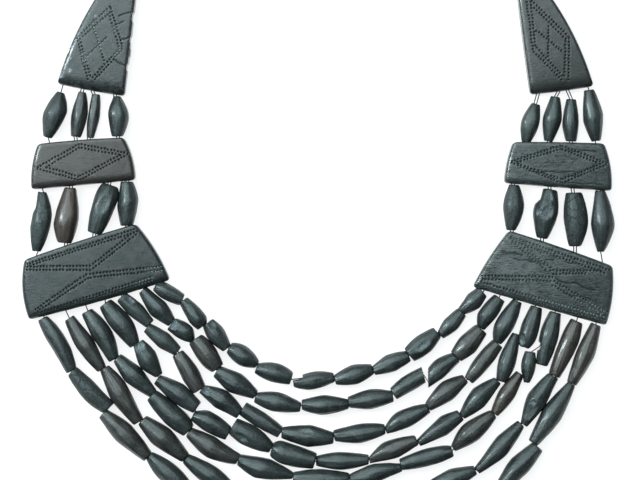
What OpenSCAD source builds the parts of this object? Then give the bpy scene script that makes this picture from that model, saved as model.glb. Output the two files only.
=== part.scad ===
// Jet bead necklace laid flat: seven strands of drilled beads hang between six
// drilled plates, and a plain bead string with a barrel clasp closes the loop.
// X runs across the wearer, +Y points to the back of the neck, and Z = 0 is the
// surface that the beads and plates rest on.

/* [Thread] */
// Thickness of the thread
thread_d = 0.45; // [0.3:0.05:0.5]
// Distance between two threads that share a bore
thread_pair = 1.1; // [0.8:0.1:1.1]
// Width of every bore
bore_d = 2; // [1.9:0.1:2.2]

/* [Beads] */
// Girth of a bead's cut end, as a share of its greatest girth
end_share = 0.56; // [0.5:0.02:0.6]
// Width of the worn edge round a bead's cut end
end_wear = 0.3; // [0.2:0.05:0.4]

/* [Plates] */
// Thickness of a plate at its middle
plate_t = 7.6; // [7.2:0.1:9]
// Height of the bores above the surface
bore_h = 3.8; // [3.4:0.1:4]
// Radius of the gentle dome on a plate's upper face
dome_r = 220; // [200:10:400]
// Length taken off each edge at a plate's rounded corner
corner_trim = 1.7; // [1:0.1:2.5]

/* [Back of the neck] */
// How far the back string rises behind the two terminal plates
back_rise = 57.2; // [45:0.2:70]
// Gap between two beads of the back string
back_gap = 0.9; // [0.8:0.1:1.4]
// Length of the barrel clasp
clasp_l = 15; // [10:1:20]
// Girth of the barrel clasp
clasp_d = 7; // [5:0.5:9]

/* [Hidden] */
$fn = 64;
// Sides of curves whose radius is many times the size of the piece
LARGE_FN = 256;
THREAD_SIDES = 6;
// Steps along one bowed edge of a plate, and the share of a rounded corner in one step
EDGE_STEPS = 5;
CORNER_STEP = 0.2;
// How far a bore is carried on past a mouth, so that it cuts a slanting edge right through
BORE_OVER = 1.6;
// How far apart the bores that share a mouth start
BORE_APART = 0.7;
// How far a thread runs into a terminal plate, as a share of the way to the chamber
THREAD_IN = 0.15;
// How far from the chamber the back thread ends, as a share of the way to the tip
BACK_THREAD_IN = 0.2;
// Rise of a bead's worn edge along the bead for each step outwards
WEAR_SLOPE = 2;
// Width of the chamber where a terminal plate's bores meet
CHAMBER_D = 3.4;
// Side of a cube that is larger than any bead
FAR = 60;
// Floor of a missing piece that goes down past the bead's underside
RIGHT_THROUGH = -10;
JET = "#3d4645";
BROWN_JET = "#4b433c";
THREAD_GREY = "#73746f";

// Rows of beads. Columns: near end x, near end y, far end x, far end y, girth.
// A broken bead adds the x and y where its bore opens near its near end, and the same
// for its far end if that is broken too.
LEFT_UPPER_BEADS = [
    [-102.8, 33.0, -108.0, 15.4, 8.6],
    [-94.7, 32.9, -97.2, 15.5, 5.4],
    [-89.5, 31.9, -91.7, 15.6, 5.0],
    [-81.2, 31.0, -80.0, 15.9, 8.0]
];
LEFT_LOWER_BEADS = [
    [-109.8, -6.9, -111.9, -30.4, 8.6],
    [-98.8, -5.6, -100.8, -26.8, 10.0],
    [-83.6, -4.3, -89.2, -22.4, 9.0],
    [-76.2, -3.2, -76.4, -19.8, 8.0]
];
RIGHT_UPPER_BEADS = [
    [87.0, 28.8, 83.4, 14.0, 7.6],
    [95.0, 31.2, 92.2, 14.0, 7.2],
    [101.4, 30.2, 101.2, 14.0, 6.8],
    [108.6, 33.6, 111.0, 13.8, 7.8]
];
RIGHT_LOWER_BEADS = [
    [78.2, -4.4, 77.3, -21.6, 8.2],
    [92.6, -5.9, 89.6, -25.0, 10.2],
    [102.0, -7.2, 102.8, -28.0, 9.6],
    [113.0, -6.8, 113.0, -30.6, 9.0]
];
STRANDS = [
    [
        [-64.6, -44.9, -54.8, -49.5, 5.8],
        [-53.6, -50.6, -46.2, -60.0, 6.8],
        [-44.4, -59.9, -36.4, -69.0, 7.3],
        [-35.4, -69.4, -24.8, -75.8, 7.4],
        [-23.8, -76.8, -10.6, -81.8, 7.6],
        [-9.8, -83.0, 6.2, -81.0, 6.9, -6.2, -81.3],
        [7.2, -82.0, 21.5, -77.9, 7.8],
        [22.5, -77.8, 36.0, -72.5, 6.8],
        [37.0, -71.9, 47.7, -63.2, 8.0],
        [48.8, -63.2, 56.8, -54.9, 6.2],
        [57.5, -54.1, 65.9, -47.4, 6.4]
    ],
    [
        [-69.8, -47.0, -59.2, -58.9, 7.2],
        [-58.2, -60.2, -50.0, -65.4, 6.8],
        [-48.8, -65.9, -40.5, -77.4, 7.8],
        [-40.4, -78.8, -25.4, -87.6, 7.2],
        [-24.4, -88.4, -7.2, -92.6, 7.4],
        [-6.0, -92.1, 11.7, -91.7, 7.8],
        [12.6, -90.8, 29.4, -88.2, 7.6],
        [30.4, -87.4, 43.4, -79.2, 6.7, 30.4, -87.4, 42.3, -79.9],
        [42.4, -84.0, 54.8, -73.2, 7.2, 44.0, -82.6],
        [55.6, -71.9, 64.8, -61.8, 8.0],
        [65.0, -60.3, 72.4, -49.5, 7.0]
    ],
    [
        [-78.6, -49.2, -67.6, -59.4, 6.8],
        [-67.6, -60.8, -56.2, -70.2, 6.6],
        [-55.6, -71.4, -47.6, -85.2, 6.8],
        [-45.7, -85.9, -31.6, -95.2, 7.4],
        [-30.2, -94.2, -15.2, -102.6, 5.8],
        [-14.2, -103.2, 5.9, -105.0, 8.4],
        [6.9, -104.4, 26.3, -101.8, 7.4],
        [27.2, -101.4, 43.7, -93.7, 7.2],
        [44.6, -92.7, 58.7, -82.2, 7.2],
        [60.2, -81.8, 71.3, -67.7, 6.2],
        [71.2, -66.0, 79.4, -50.7, 7.0]
    ],
    [
        [-85.0, -51.9, -73.5, -67.4, 8.2],
        [-72.0, -67.2, -64.2, -80.3, 8.0],
        [-63.4, -81.7, -49.2, -92.3, 7.8],
        [-48.8, -96.1, -36.3, -102.4, 7.0],
        [-33.7, -101.2, -19.2, -109.0, 8.0],
        [-18.0, -109.7, -1.5, -114.8, 7.6],
        [-0.5, -114.4, 19.8, -114.0, 7.0],
        [20.7, -113.4, 39.1, -106.3, 7.0],
        [40.2, -106.2, 56.4, -96.6, 7.0],
        [57.6, -95.4, 71.4, -82.6, 7.2],
        [72.6, -81.4, 78.2, -64.4, 7.6, 72.6, -81.4, 78.5, -63.6],
        [83.0, -69.2, 87.2, -53.2, 7.4, 82.6, -65.8]
    ],
    [
        [-91.7, -55.2, -81.7, -73.4, 7.3],
        [-80.6, -74.0, -66.8, -87.2, 7.4],
        [-66.0, -88.6, -52.2, -101.8, 7.8],
        [-51.2, -103.2, -32.8, -114.0, 7.8],
        [-31.2, -114.3, -10.6, -120.6, 8.0],
        [-9.6, -121.2, 12.0, -121.6, 8.0],
        [13.0, -121.6, 32.8, -117.1, 7.2],
        [33.7, -116.4, 53.4, -110.8, 7.6],
        [54.3, -109.4, 69.8, -96.0, 7.6],
        [70.6, -95.0, 80.4, -80.3, 6.4],
        [81.9, -83.6, 84.8, -71.2, 5.8, 82.6, -80.6],
        [89.2, -76.0, 94.7, -55.7, 6.8, 88.7, -68.6]
    ],
    [
        [-99.3, -57.7, -87.2, -77.2, 6.7],
        [-85.6, -78.2, -72.3, -98.0, 7.8],
        [-70.0, -99.2, -53.6, -113.0, 7.6],
        [-52.6, -113.6, -36.2, -124.2, 7.6],
        [-35.0, -124.8, -16.4, -130.8, 7.8],
        [-15.2, -131.0, 4.0, -132.8, 8.0],
        [5.0, -132.8, 24.0, -130.8, 7.4],
        [25.0, -130.6, 42.4, -125.5, 7.6],
        [43.4, -125.4, 62.4, -118.3, 7.6],
        [63.5, -117.4, 80.2, -100.8, 8.0],
        [82.1, -98.8, 93.2, -80.6, 8.0],
        [94.3, -79.3, 103.4, -58.6, 7.2]
    ],
    [
        [-109.8, -58.2, -99.1, -78.0, 6.6],
        [-98.2, -79.2, -84.8, -93.2, 7.4],
        [-84.8, -95.4, -68.4, -112.0, 9.0],
        [-66.8, -112.6, -51.4, -126.6, 8.0],
        [-50.4, -127.6, -31.6, -136.2, 8.0],
        [-30.4, -136.6, -10.8, -141.4, 7.8],
        [-9.6, -141.5, 11.0, -142.0, 8.0],
        [12.0, -141.9, 31.8, -139.2, 7.8],
        [32.8, -138.9, 52.0, -133.2, 7.6],
        [53.0, -132.8, 71.4, -126.4, 7.8],
        [72.8, -125.6, 87.2, -109.4, 8.0],
        [87.0, -106.4, 100.8, -84.6, 8.0],
        [101.6, -83.2, 111.0, -60.6, 7.8]
    ]
];

// What broken beads have lost. Columns: strand, bead, where the corner of the missing
// piece lies along and across the bead, how far the missing piece is turned, and the
// height of its floor above the bead's own axis.
STRAND_BREAKS = [
    [1, 6, -4.1, 0.8, 90, RIGHT_THROUGH],
    [2, 8, 5.1, -4.2, -17, RIGHT_THROUGH],
    [2, 9, -7.9, -2.0, 49, RIGHT_THROUGH],
    [4, 12, -4.2, 0.6, 90, -0.6],
    [5, 11, -6.2, -2.6, 40, RIGHT_THROUGH]
];
// The same for side beads. Columns: along, across, turn, floor.
LEFT_LOWER_BREAK_1 = [-3.8, -2.2, 180, RIGHT_THROUGH];
RIGHT_LOWER_BREAK_2 = [-5.2, -2.3, 180, RIGHT_THROUGH];

// Beads of browner jet. Columns: strand, bead.
BROWN_BEADS = [[2, 3], [2, 10], [3, 3], [3, 10], [4, 8], [5, 10], [6, 2], [6, 12], [7, 13]];

// Plate outlines. Columns: corner x, corner y, bow of the edge that runs on from it.
LEFT_TERMINAL = [
    [-104.4, 36.6, 0.3],
    [-77.4, 31.6, 0.2],
    [-71.2, 86.6, 0.2],
    [-77.4, 86.6, 2.8]
];
RIGHT_TERMINAL = [
    [84.9, 32.2, 0.3],
    [110.3, 35.6, 3],
    [83.4, 83.4, 0.2],
    [78.6, 83.4, 0.3]
];
LEFT_UPPER = [
    [-114.6, -5.8, 0.1],
    [-73.0, -2.0, 1.1],
    [-77.6, 15.0, 0.3],
    [-112.0, 12.4, 1]
];
RIGHT_UPPER = [
    [74.4, -3.2, 0.2],
    [117.4, -6.4, 1.1],
    [114.4, 12.6, 0.2],
    [78.0, 13.2, 0.6]
];
LEFT_LOWER = [
    [-115.2, -57.0, 0.7],
    [-60.0, -41.0, 1.2],
    [-72.6, -19.8, 0.4],
    [-117.0, -33.6, 1.7]
];
RIGHT_LOWER = [
    [62.2, -44.2, 0.2],
    [115.2, -59.6, 1.3],
    [117.8, -36.4, 0.4],
    [76.4, -22.2, 0.8]
];

// Bores of the upper spacers. Columns: upper mouth x, y and lower mouth x, y.
LEFT_UPPER_BORES = [
    [-107.4, 13.0, -110.2, -5.5],
    [-96.8, 13.9, -98.8, -4.5],
    [-91.7, 14.3, -83.4, -3.1],
    [-80.0, 15.0, -76.2, -2.4]
];
RIGHT_UPPER_BORES = [
    [83.4, 13.3, 78.0, -3.6],
    [92.4, 13.2, 92.6, -4.8],
    [101.2, 13.1, 101.8, -5.5],
    [111.0, 12.8, 113.0, -6.2]
];
// Mouths above and below in the other plates. Columns: x, y.
LEFT_TERMINAL_MOUTHS = [[-102.0, 36.0], [-94.2, 34.3], [-90.2, 33.4], [-81.2, 32.1]];
RIGHT_TERMINAL_MOUTHS = [[88.0, 32.4], [96.2, 33.3], [99.8, 33.8], [108.0, 35.1]];
LEFT_TERMINAL_MEET = [-80.4, 76];
RIGHT_TERMINAL_MEET = [84.2, 73];
LEFT_TERMINAL_TIP = [-74.5, 86.8];
RIGHT_TERMINAL_TIP = [81.1, 83.6];
LEFT_LOWER_TOPS = [[-112.6, -32.0], [-100.8, -28.1], [-89.6, -24.6], [-76.4, -20.8]];
RIGHT_LOWER_TOPS = [[77.6, -22.5], [89.6, -26.3], [102.8, -30.8], [113.8, -34.8]];
// Seven mouths below, from the innermost strand outwards.
LEFT_LOWER_MOUTHS = [
    [-64.6, -42.6], [-69.8, -44.3], [-78.6, -47.1], [-85.2, -49.1],
    [-93.2, -51.4], [-101.2, -53.6], [-109.6, -55.7]
];
RIGHT_LOWER_MOUTHS = [
    [66.6, -45.6], [73.0, -47.5], [80.0, -49.6], [86.8, -51.6],
    [95.0, -54.0], [104.0, -56.5], [111.4, -58.6]
];
// Side column that each strand's thread runs up, counted from the left. Columns: left, right.
COLUMNS = [[3, 0], [3, 0], [2, 1], [2, 1], [1, 2], [1, 2], [0, 3]];
// Which side of a shared bore each thread keeps to, on the left half.
PAIR_SIDE = [1, -1, 1, -1, 1, -1, 0];

// Beads on each half of the back string, outwards from the clasp. Columns: length, girth.
BACK_BEADS = [[17.5, 7.2], [19.5, 7.8], [18, 7.4], [19, 7.6], [17, 7]];

// Parts of a bead's row
function near_end(row) = [row[0], row[1]];
function far_end(row) = [row[2], row[3]];
function girth(row) = row[4];
function near_mouth(row) = len(row) > 5 ? [row[5], row[6]] : near_end(row);
function far_mouth(row) = len(row) > 7 ? [row[7], row[8]] : far_end(row);

function along(p, q, share) = p + (q - p) * share;
function heading(p, q) = atan2(q.y - p.y, q.x - p.x);
function unit(v) = v / norm(v);
function total(list, count) = count == 0 ? 0 : list[count - 1] + total(list, count - 1);
function reversed(list) = [for (i = [len(list) - 1 : -1 : 0]) list[i]];

// Radius of an arc over a chord with a given rise at its middle
function arc_radius(chord, rise) = (chord * chord / 4 + rise * rise) / (2 * rise);

// One edge of a plate, bowed outwards to the right of its run from p to q
function bowed(p, q, bow, share) =
    along(p, q, share) + unit([q.y - p.y, p.x - q.x]) * 4 * bow * share * (1 - share);

// Rounded corner at q, as points of a quadratic curve
function corner_points(from, q, to) =
    [for (t = [CORNER_STEP : CORNER_STEP : 1 - CORNER_STEP])
        from * (1 - t) * (1 - t) + q * 2 * t * (1 - t) + to * t * t
    ];

function outline(rows) =
    let (n = len(rows))
    [for (i = [0 : n - 1])
        let (
            p = [rows[i][0], rows[i][1]],
            q = [rows[(i + 1) % n][0], rows[(i + 1) % n][1]],
            r = [rows[(i + 2) % n][0], rows[(i + 2) % n][1]],
            trim = min(corner_trim, norm(q - p) / 3),
            next_trim = min(corner_trim, norm(r - q) / 3),
            first = trim / norm(q - p),
            next_first = next_trim / norm(r - q),
            step = (1 - 2 * first) / EDGE_STEPS,
            edge = [for (j = [0 : EDGE_STEPS]) bowed(p, q, rows[i][2], first + step * j)]
        )
        each concat(
            edge,
            corner_points(edge[EDGE_STEPS], q, bowed(q, r, rows[(i + 1) % n][2], next_first))
        )
    ];

function middle(rows) =
    [for (axis = [0 : 1]) total([for (row = rows) row[axis]], len(rows)) / len(rows)];

// Solid of a bead round the X axis, cut square at both ends
module bead_body(length, girth) {
    r = girth / 2;
    end_r = r * end_share;
    arc_r = arc_radius(length, r - end_r);
    rotate([0, 90, 0])
        rotate_extrude()
            intersection() {
                translate([r - arc_r, 0]) circle(r = arc_r, $fn = LARGE_FN);
                polygon([
                    [0, -length / 2],
                    [end_r - end_wear, -length / 2],
                    [end_r + r, -length / 2 + (r + end_wear) * WEAR_SLOPE],
                    [end_r + r, length / 2 - (r + end_wear) * WEAR_SLOPE],
                    [end_r - end_wear, length / 2],
                    [0, length / 2]
                ]);
            }
}

// Round hole in plan from p to q at height h, carried on past each mouth
module bore(p, q, h, over_p, over_q) {
    translate([p.x, p.y, h])
        rotate([0, 90, heading(p, q)])
            translate([0, 0, -over_p])
                cylinder(d = bore_d, h = norm(q - p) + over_p + over_q);
}

// Piece knocked off a bead: an eighth of space with its corner at x = along, y = across
module missing_piece(along, across, turn, floor) {
    translate([along, across, floor])
        rotate([0, 0, turn])
            cube([FAR, FAR, FAR]);
}

// Bead of a row, where it lies, less the pieces that it has lost
module laid_bead(row, breaks, tone) {
    p = near_end(row);
    q = far_end(row);
    mid = along(p, q, 0.5);
    h = girth(row) / 2;
    color(tone)
        difference() {
            translate([mid.x, mid.y, h])
                rotate([0, 0, heading(p, q)])
                    difference() {
                        bead_body(norm(q - p), girth(row));
                        for (b = breaks) missing_piece(b[0], b[1], b[2], b[3]);
                    }
            bore(near_mouth(row), far_mouth(row), h, BORE_OVER, BORE_OVER);
        }
}

module strand(k) {
    for (i = [0 : len(STRANDS[k - 1]) - 1]) {
        breaks = [for (b = STRAND_BREAKS) if (b[0] == k && b[1] == i + 1) [b[2], b[3], b[4], b[5]]];
        brown = len([for (b = BROWN_BEADS) if (b[0] == k && b[1] == i + 1) b]) > 0;
        laid_bead(STRANDS[k - 1][i], breaks, brown ? BROWN_JET : JET);
    }
}

// Plate without its bores: a bowed outline under a gently domed face
module plate_body(rows) {
    mid = middle(rows);
    intersection() {
        linear_extrude(height = plate_t) polygon(outline(rows));
        translate([mid.x, mid.y, plate_t - dome_r]) sphere(r = dome_r, $fn = LARGE_FN);
    }
}

// Terminal plate: four bores that meet in a chamber and come out at the tip as one
module terminal_plate(rows, mouths, meet, tip) {
    color(JET)
        difference() {
            plate_body(rows);
            for (i = [0 : 3]) bore(mouths[i], meet + [(i - 1.5) * BORE_APART / 2, 0], bore_h, BORE_OVER, 0);
            translate([meet.x, meet.y, bore_h]) sphere(d = CHAMBER_D);
            bore(meet, tip, bore_h, 0, BORE_OVER);
        }
}

module upper_spacer(rows, bores) {
    color(JET)
        difference() {
            plate_body(rows);
            for (b = bores) bore([b[0], b[1]], [b[2], b[3]], bore_h, BORE_OVER, BORE_OVER);
        }
}

// Lower spacer: four bores above that branch to seven below
module lower_spacer(rows, tops, mouths, side) {
    color(JET)
        difference() {
            plate_body(rows);
            for (k = [0 : 6]) {
                apart = [PAIR_SIDE[k] * (1 - 2 * side) * BORE_APART / 2, 0];
                bore(tops[COLUMNS[k][side]] + apart, mouths[k], bore_h, BORE_OVER, BORE_OVER);
            }
        }
}

// Point of a thread at height h, moved sideways by its place in a shared bore
function thread_point(p, h, shift) = [p.x + shift, p.y, h];

// Thread up one side, from the lower spacer's mouth to inside the terminal plate
function side_route(mouth, top, lower_bead, spacer_bore, upper_bead, terminal_mouth, meet, shift) =
    let (lower_h = girth(lower_bead) / 2, upper_h = girth(upper_bead) / 2)
    [
        thread_point(mouth, bore_h, 0),
        thread_point(top, bore_h, shift),
        thread_point(far_end(lower_bead), lower_h, shift),
        thread_point(near_end(lower_bead), lower_h, shift),
        thread_point([spacer_bore[2], spacer_bore[3]], bore_h, shift),
        thread_point([spacer_bore[0], spacer_bore[1]], bore_h, shift),
        thread_point(far_end(upper_bead), upper_h, shift),
        thread_point(near_end(upper_bead), upper_h, shift),
        thread_point(terminal_mouth, bore_h, shift),
        thread_point(along(terminal_mouth, meet, THREAD_IN), bore_h, shift)
    ];

function strand_route(rows) =
    [for (row = rows)
        each [
            thread_point(near_mouth(row), girth(row) / 2, 0),
            thread_point(far_mouth(row), girth(row) / 2, 0)
        ]
    ];

function thread_route(k) =
    let (
        left = COLUMNS[k][0],
        right = COLUMNS[k][1],
        shift = PAIR_SIDE[k] * thread_pair / 2,
        left_part = side_route(
            LEFT_LOWER_MOUTHS[k], LEFT_LOWER_TOPS[left], LEFT_LOWER_BEADS[left],
            LEFT_UPPER_BORES[left], LEFT_UPPER_BEADS[left],
            LEFT_TERMINAL_MOUTHS[left], LEFT_TERMINAL_MEET, shift
        ),
        right_part = side_route(
            RIGHT_LOWER_MOUTHS[k], RIGHT_LOWER_TOPS[right], RIGHT_LOWER_BEADS[right],
            RIGHT_UPPER_BORES[right], RIGHT_UPPER_BEADS[right],
            RIGHT_TERMINAL_MOUTHS[right], RIGHT_TERMINAL_MEET, -shift
        )
    )
    concat(reversed(left_part), strand_route(STRANDS[k]), right_part);

// Ring of points round a thread where it turns from direction a to direction b
function thread_ring(p, a, b) =
    let (
        run = unit(unit(a) + unit(b)),
        side = unit(cross([0, 0, 1], run)),
        up = cross(run, side)
    )
    [for (i = [0 : THREAD_SIDES - 1])
        p + (side * cos(i * 360 / THREAD_SIDES) + up * sin(i * 360 / THREAD_SIDES)) * thread_d / 2
    ];

// Closed tube swept along a route
module swept_thread(route) {
    last = len(route) - 1;
    n = THREAD_SIDES;
    points = [for (i = [0 : last])
        each thread_ring(
            route[i],
            i == 0 ? route[1] - route[0] : route[i] - route[i - 1],
            i == last ? route[last] - route[last - 1] : route[i + 1] - route[i]
        )
    ];
    walls = [for (i = [0 : last - 1], j = [0 : n - 1])
        [i * n + j, i * n + (j + 1) % n, (i + 1) * n + (j + 1) % n, (i + 1) * n + j]
    ];
    caps = [[for (j = [n - 1 : -1 : 0]) j], [for (j = [0 : n - 1]) last * n + j]];
    color(THREAD_GREY) polyhedron(points = points, faces = concat(walls, caps));
}

// Back string: pieces follow one another round an arc between the two tips
BACK_CHORD = norm(RIGHT_TERMINAL_TIP - LEFT_TERMINAL_TIP);
BACK_R = arc_radius(BACK_CHORD, back_rise);
BACK_MID = along(LEFT_TERMINAL_TIP, RIGHT_TERMINAL_TIP, 0.5);
BACK_TURN = heading(LEFT_TERMINAL_TIP, RIGHT_TERMINAL_TIP);
BACK_HALF = acos((BACK_R - back_rise) / BACK_R);
BACK_CENTRE = BACK_MID - (BACK_R - back_rise) * [-sin(BACK_TURN), cos(BACK_TURN)];
BACK_HALF_LENGTH = BACK_R * BACK_HALF * PI / 180;
BACK_LENGTHS = [for (row = BACK_BEADS) row[0]];
// Scale that makes each half's beads fill what the clasp and the gaps leave
BACK_FILL = (BACK_HALF_LENGTH - clasp_l / 2 - (len(BACK_BEADS) + 1) * back_gap)
    / total(BACK_LENGTHS, len(BACK_BEADS));

// Point on the arc at a distance s from its top, positive to the right
function back_point(s) =
    let (a = 90 + BACK_TURN - s / BACK_R * 180 / PI)
    BACK_CENTRE + BACK_R * [cos(a), sin(a)];

function back_start(i) = clasp_l / 2 + (i + 1) * back_gap + total(BACK_LENGTHS, i) * BACK_FILL;

function back_row(i, side) =
    let (
        p = back_point(side * back_start(i)),
        q = back_point(side * (back_start(i) + BACK_LENGTHS[i] * BACK_FILL))
    )
    [p.x, p.y, q.x, q.y, BACK_BEADS[i][1]];

CLASP_ROW = [
    back_point(-clasp_l / 2).x, back_point(-clasp_l / 2).y,
    back_point(clasp_l / 2).x, back_point(clasp_l / 2).y, clasp_d
];

module back_string() {
    for (side = [-1, 1], i = [0 : len(BACK_BEADS) - 1])
        laid_bead(back_row(i, side), [], JET);
}

module clasp() {
    p = near_end(CLASP_ROW);
    q = far_end(CLASP_ROW);
    mid = along(p, q, 0.5);
    color(JET)
        difference() {
            translate([mid.x, mid.y, clasp_d / 2])
                rotate([0, 90, heading(p, q)])
                    rotate_extrude()
                        polygon([
                            [0, -clasp_l / 2],
                            [clasp_d / 2 - 2 * end_wear, -clasp_l / 2],
                            [clasp_d / 2, -clasp_l / 2 + 2 * end_wear],
                            [clasp_d / 2, clasp_l / 2 - 2 * end_wear],
                            [clasp_d / 2 - 2 * end_wear, clasp_l / 2],
                            [0, clasp_l / 2]
                        ]);
            bore(p, q, clasp_d / 2, BORE_OVER, BORE_OVER);
        }
}

module back_thread() {
    count = len(BACK_BEADS);
    left_rows = [for (i = [count - 1 : -1 : 0]) back_row(i, -1)];
    right_rows = [for (i = [0 : count - 1]) back_row(i, 1)];
    swept_thread(concat(
        [thread_point(along(LEFT_TERMINAL_MEET, LEFT_TERMINAL_TIP, BACK_THREAD_IN), bore_h, 0)],
        [thread_point(LEFT_TERMINAL_TIP, bore_h, 0)],
        [for (row = left_rows)
            each [
                thread_point(far_end(row), girth(row) / 2, 0),
                thread_point(near_end(row), girth(row) / 2, 0)
            ]
        ],
        strand_route([CLASP_ROW]),
        strand_route(right_rows),
        [thread_point(RIGHT_TERMINAL_TIP, bore_h, 0)],
        [thread_point(along(RIGHT_TERMINAL_MEET, RIGHT_TERMINAL_TIP, BACK_THREAD_IN), bore_h, 0)]
    ));
}

module left_terminal_plate() {
    terminal_plate(LEFT_TERMINAL, LEFT_TERMINAL_MOUTHS, LEFT_TERMINAL_MEET, LEFT_TERMINAL_TIP);
}

module right_terminal_plate() {
    terminal_plate(RIGHT_TERMINAL, RIGHT_TERMINAL_MOUTHS, RIGHT_TERMINAL_MEET, RIGHT_TERMINAL_TIP);
}

module left_upper_spacer() {
    upper_spacer(LEFT_UPPER, LEFT_UPPER_BORES);
}

module right_upper_spacer() {
    upper_spacer(RIGHT_UPPER, RIGHT_UPPER_BORES);
}

module left_lower_spacer() {
    lower_spacer(LEFT_LOWER, LEFT_LOWER_TOPS, LEFT_LOWER_MOUTHS, 0);
}

module right_lower_spacer() {
    lower_spacer(RIGHT_LOWER, RIGHT_LOWER_TOPS, RIGHT_LOWER_MOUTHS, 1);
}

module left_upper_bead(i) {
    laid_bead(LEFT_UPPER_BEADS[i - 1], [], JET);
}

module left_lower_bead(i) {
    laid_bead(LEFT_LOWER_BEADS[i - 1], i == 1 ? [LEFT_LOWER_BREAK_1] : [], i == 2 ? BROWN_JET : JET);
}

module right_upper_bead(i) {
    laid_bead(RIGHT_UPPER_BEADS[i - 1], [], JET);
}

module right_lower_bead(i) {
    laid_bead(RIGHT_LOWER_BEADS[i - 1], i == 2 ? [RIGHT_LOWER_BREAK_2] : [], JET);
}

left_terminal_plate();
left_upper_spacer();
left_lower_spacer();
right_terminal_plate();
right_upper_spacer();
right_lower_spacer();
for (i = [1 : 4]) {
    left_upper_bead(i);
    left_lower_bead(i);
    right_upper_bead(i);
    right_lower_bead(i);
}
for (k = [1 : 7]) {
    strand(k);
    swept_thread(thread_route(k - 1));
}
back_string();
back_thread();
clasp();
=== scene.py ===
import math

import bpy
import numpy as np
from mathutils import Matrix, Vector
from mathutils.geometry import delaunay_2d_cdt


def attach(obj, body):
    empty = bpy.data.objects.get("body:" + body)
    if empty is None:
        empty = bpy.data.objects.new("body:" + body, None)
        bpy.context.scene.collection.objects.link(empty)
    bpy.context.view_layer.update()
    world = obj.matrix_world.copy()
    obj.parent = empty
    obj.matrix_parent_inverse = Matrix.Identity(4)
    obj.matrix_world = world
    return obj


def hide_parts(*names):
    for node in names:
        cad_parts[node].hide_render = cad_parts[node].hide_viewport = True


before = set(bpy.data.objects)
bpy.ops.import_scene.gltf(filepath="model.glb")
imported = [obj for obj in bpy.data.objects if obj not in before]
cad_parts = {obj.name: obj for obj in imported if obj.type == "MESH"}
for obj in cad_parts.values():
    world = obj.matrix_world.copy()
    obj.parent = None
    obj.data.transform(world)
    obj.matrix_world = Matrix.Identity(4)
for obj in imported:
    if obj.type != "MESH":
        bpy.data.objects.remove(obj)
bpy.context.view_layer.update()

# ---- White table, soft light and camera ----
# The necklace lies on a plain white light table and is seen from straight above. A large
# soft light hangs over it towards the back of the neck, and a narrow one stands on the left.
TABLE_REACH = 3
TABLE_Z = -0.0001
TABLE_GREY = 0.3
TABLE_GLOW = 0.8
LAMP_COLOUR = (0.84, 0.97, 1.0)
ROOM_COLOUR = (0.84, 0.96, 1.0, 1)
ROOM_GLOW = 0.08
SENSOR_WIDTH = 36
VIEW_WIDTH = 0.256
VIEW_DISTANCE = 1.2
NECKLACE_MIDDLE = (0, 0, 0)


def in_scene(name, data):
    """A new object of this name, put into the scene."""
    thing = bpy.data.objects.new(name, data)
    bpy.context.scene.collection.objects.link(thing)
    return thing


def new_finish(name):
    """A new material and its shader."""
    finish = bpy.data.materials.new(name)
    finish.use_nodes = True
    return finish, finish.node_tree.nodes["Principled BSDF"]


table = in_scene("white_table", bpy.data.meshes.new("white_table"))
table.data.from_pydata(
    [(x * TABLE_REACH, y * TABLE_REACH, TABLE_Z) for x, y in ((-1, -1), (1, -1), (1, 1), (-1, 1))],
    [], [(0, 1, 2, 3)])
table_finish, paper = new_finish("white_table")
paper.inputs["Base Color"].default_value = (TABLE_GREY, TABLE_GREY, TABLE_GREY, 1)
paper.inputs["Emission Color"].default_value = (1, 1, 1, 1)
paper.inputs["Emission Strength"].default_value = TABLE_GLOW
paper.inputs["Roughness"].default_value = 0.9
paper.inputs["Specular IOR Level"].default_value = 0.1
table.data.materials.append(table_finish)


def soft_light(name, place, width, height, watts):
    """A rectangular soft light at place, turned towards the necklace."""
    lamp = bpy.data.lights.new(name, "AREA")
    lamp.shape = "RECTANGLE"
    lamp.size = width
    lamp.size_y = height
    lamp.energy = watts
    lamp.color = LAMP_COLOUR
    stand = in_scene(name, lamp)
    stand.location = place
    aim = Vector(NECKLACE_MIDDLE) - Vector(place)
    stand.rotation_euler = aim.to_track_quat("-Z", "Y").to_euler()


soft_light("back_light", (-0.42, 0.62, 1.5), 2.3, 2.3, 51)
soft_light("left_light", (-1.15, 0.3, 0.95), 0.16, 0.5, 13)

room = bpy.data.worlds.new("pale_room")
room.use_nodes = True
room.node_tree.nodes["Background"].inputs["Color"].default_value = ROOM_COLOUR
room.node_tree.nodes["Background"].inputs["Strength"].default_value = ROOM_GLOW
bpy.context.scene.world = room
bpy.context.scene.view_settings.view_transform = "Standard"

camera = in_scene("overhead_camera", bpy.data.cameras.new("overhead_camera"))
camera.data.sensor_width = SENSOR_WIDTH
camera.data.lens = SENSOR_WIDTH * VIEW_DISTANCE / VIEW_WIDTH
camera.data.clip_start = 0.05
camera.location = (0.0008, -0.026, VIEW_DISTANCE + 0.004)
bpy.context.scene.camera = camera


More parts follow.
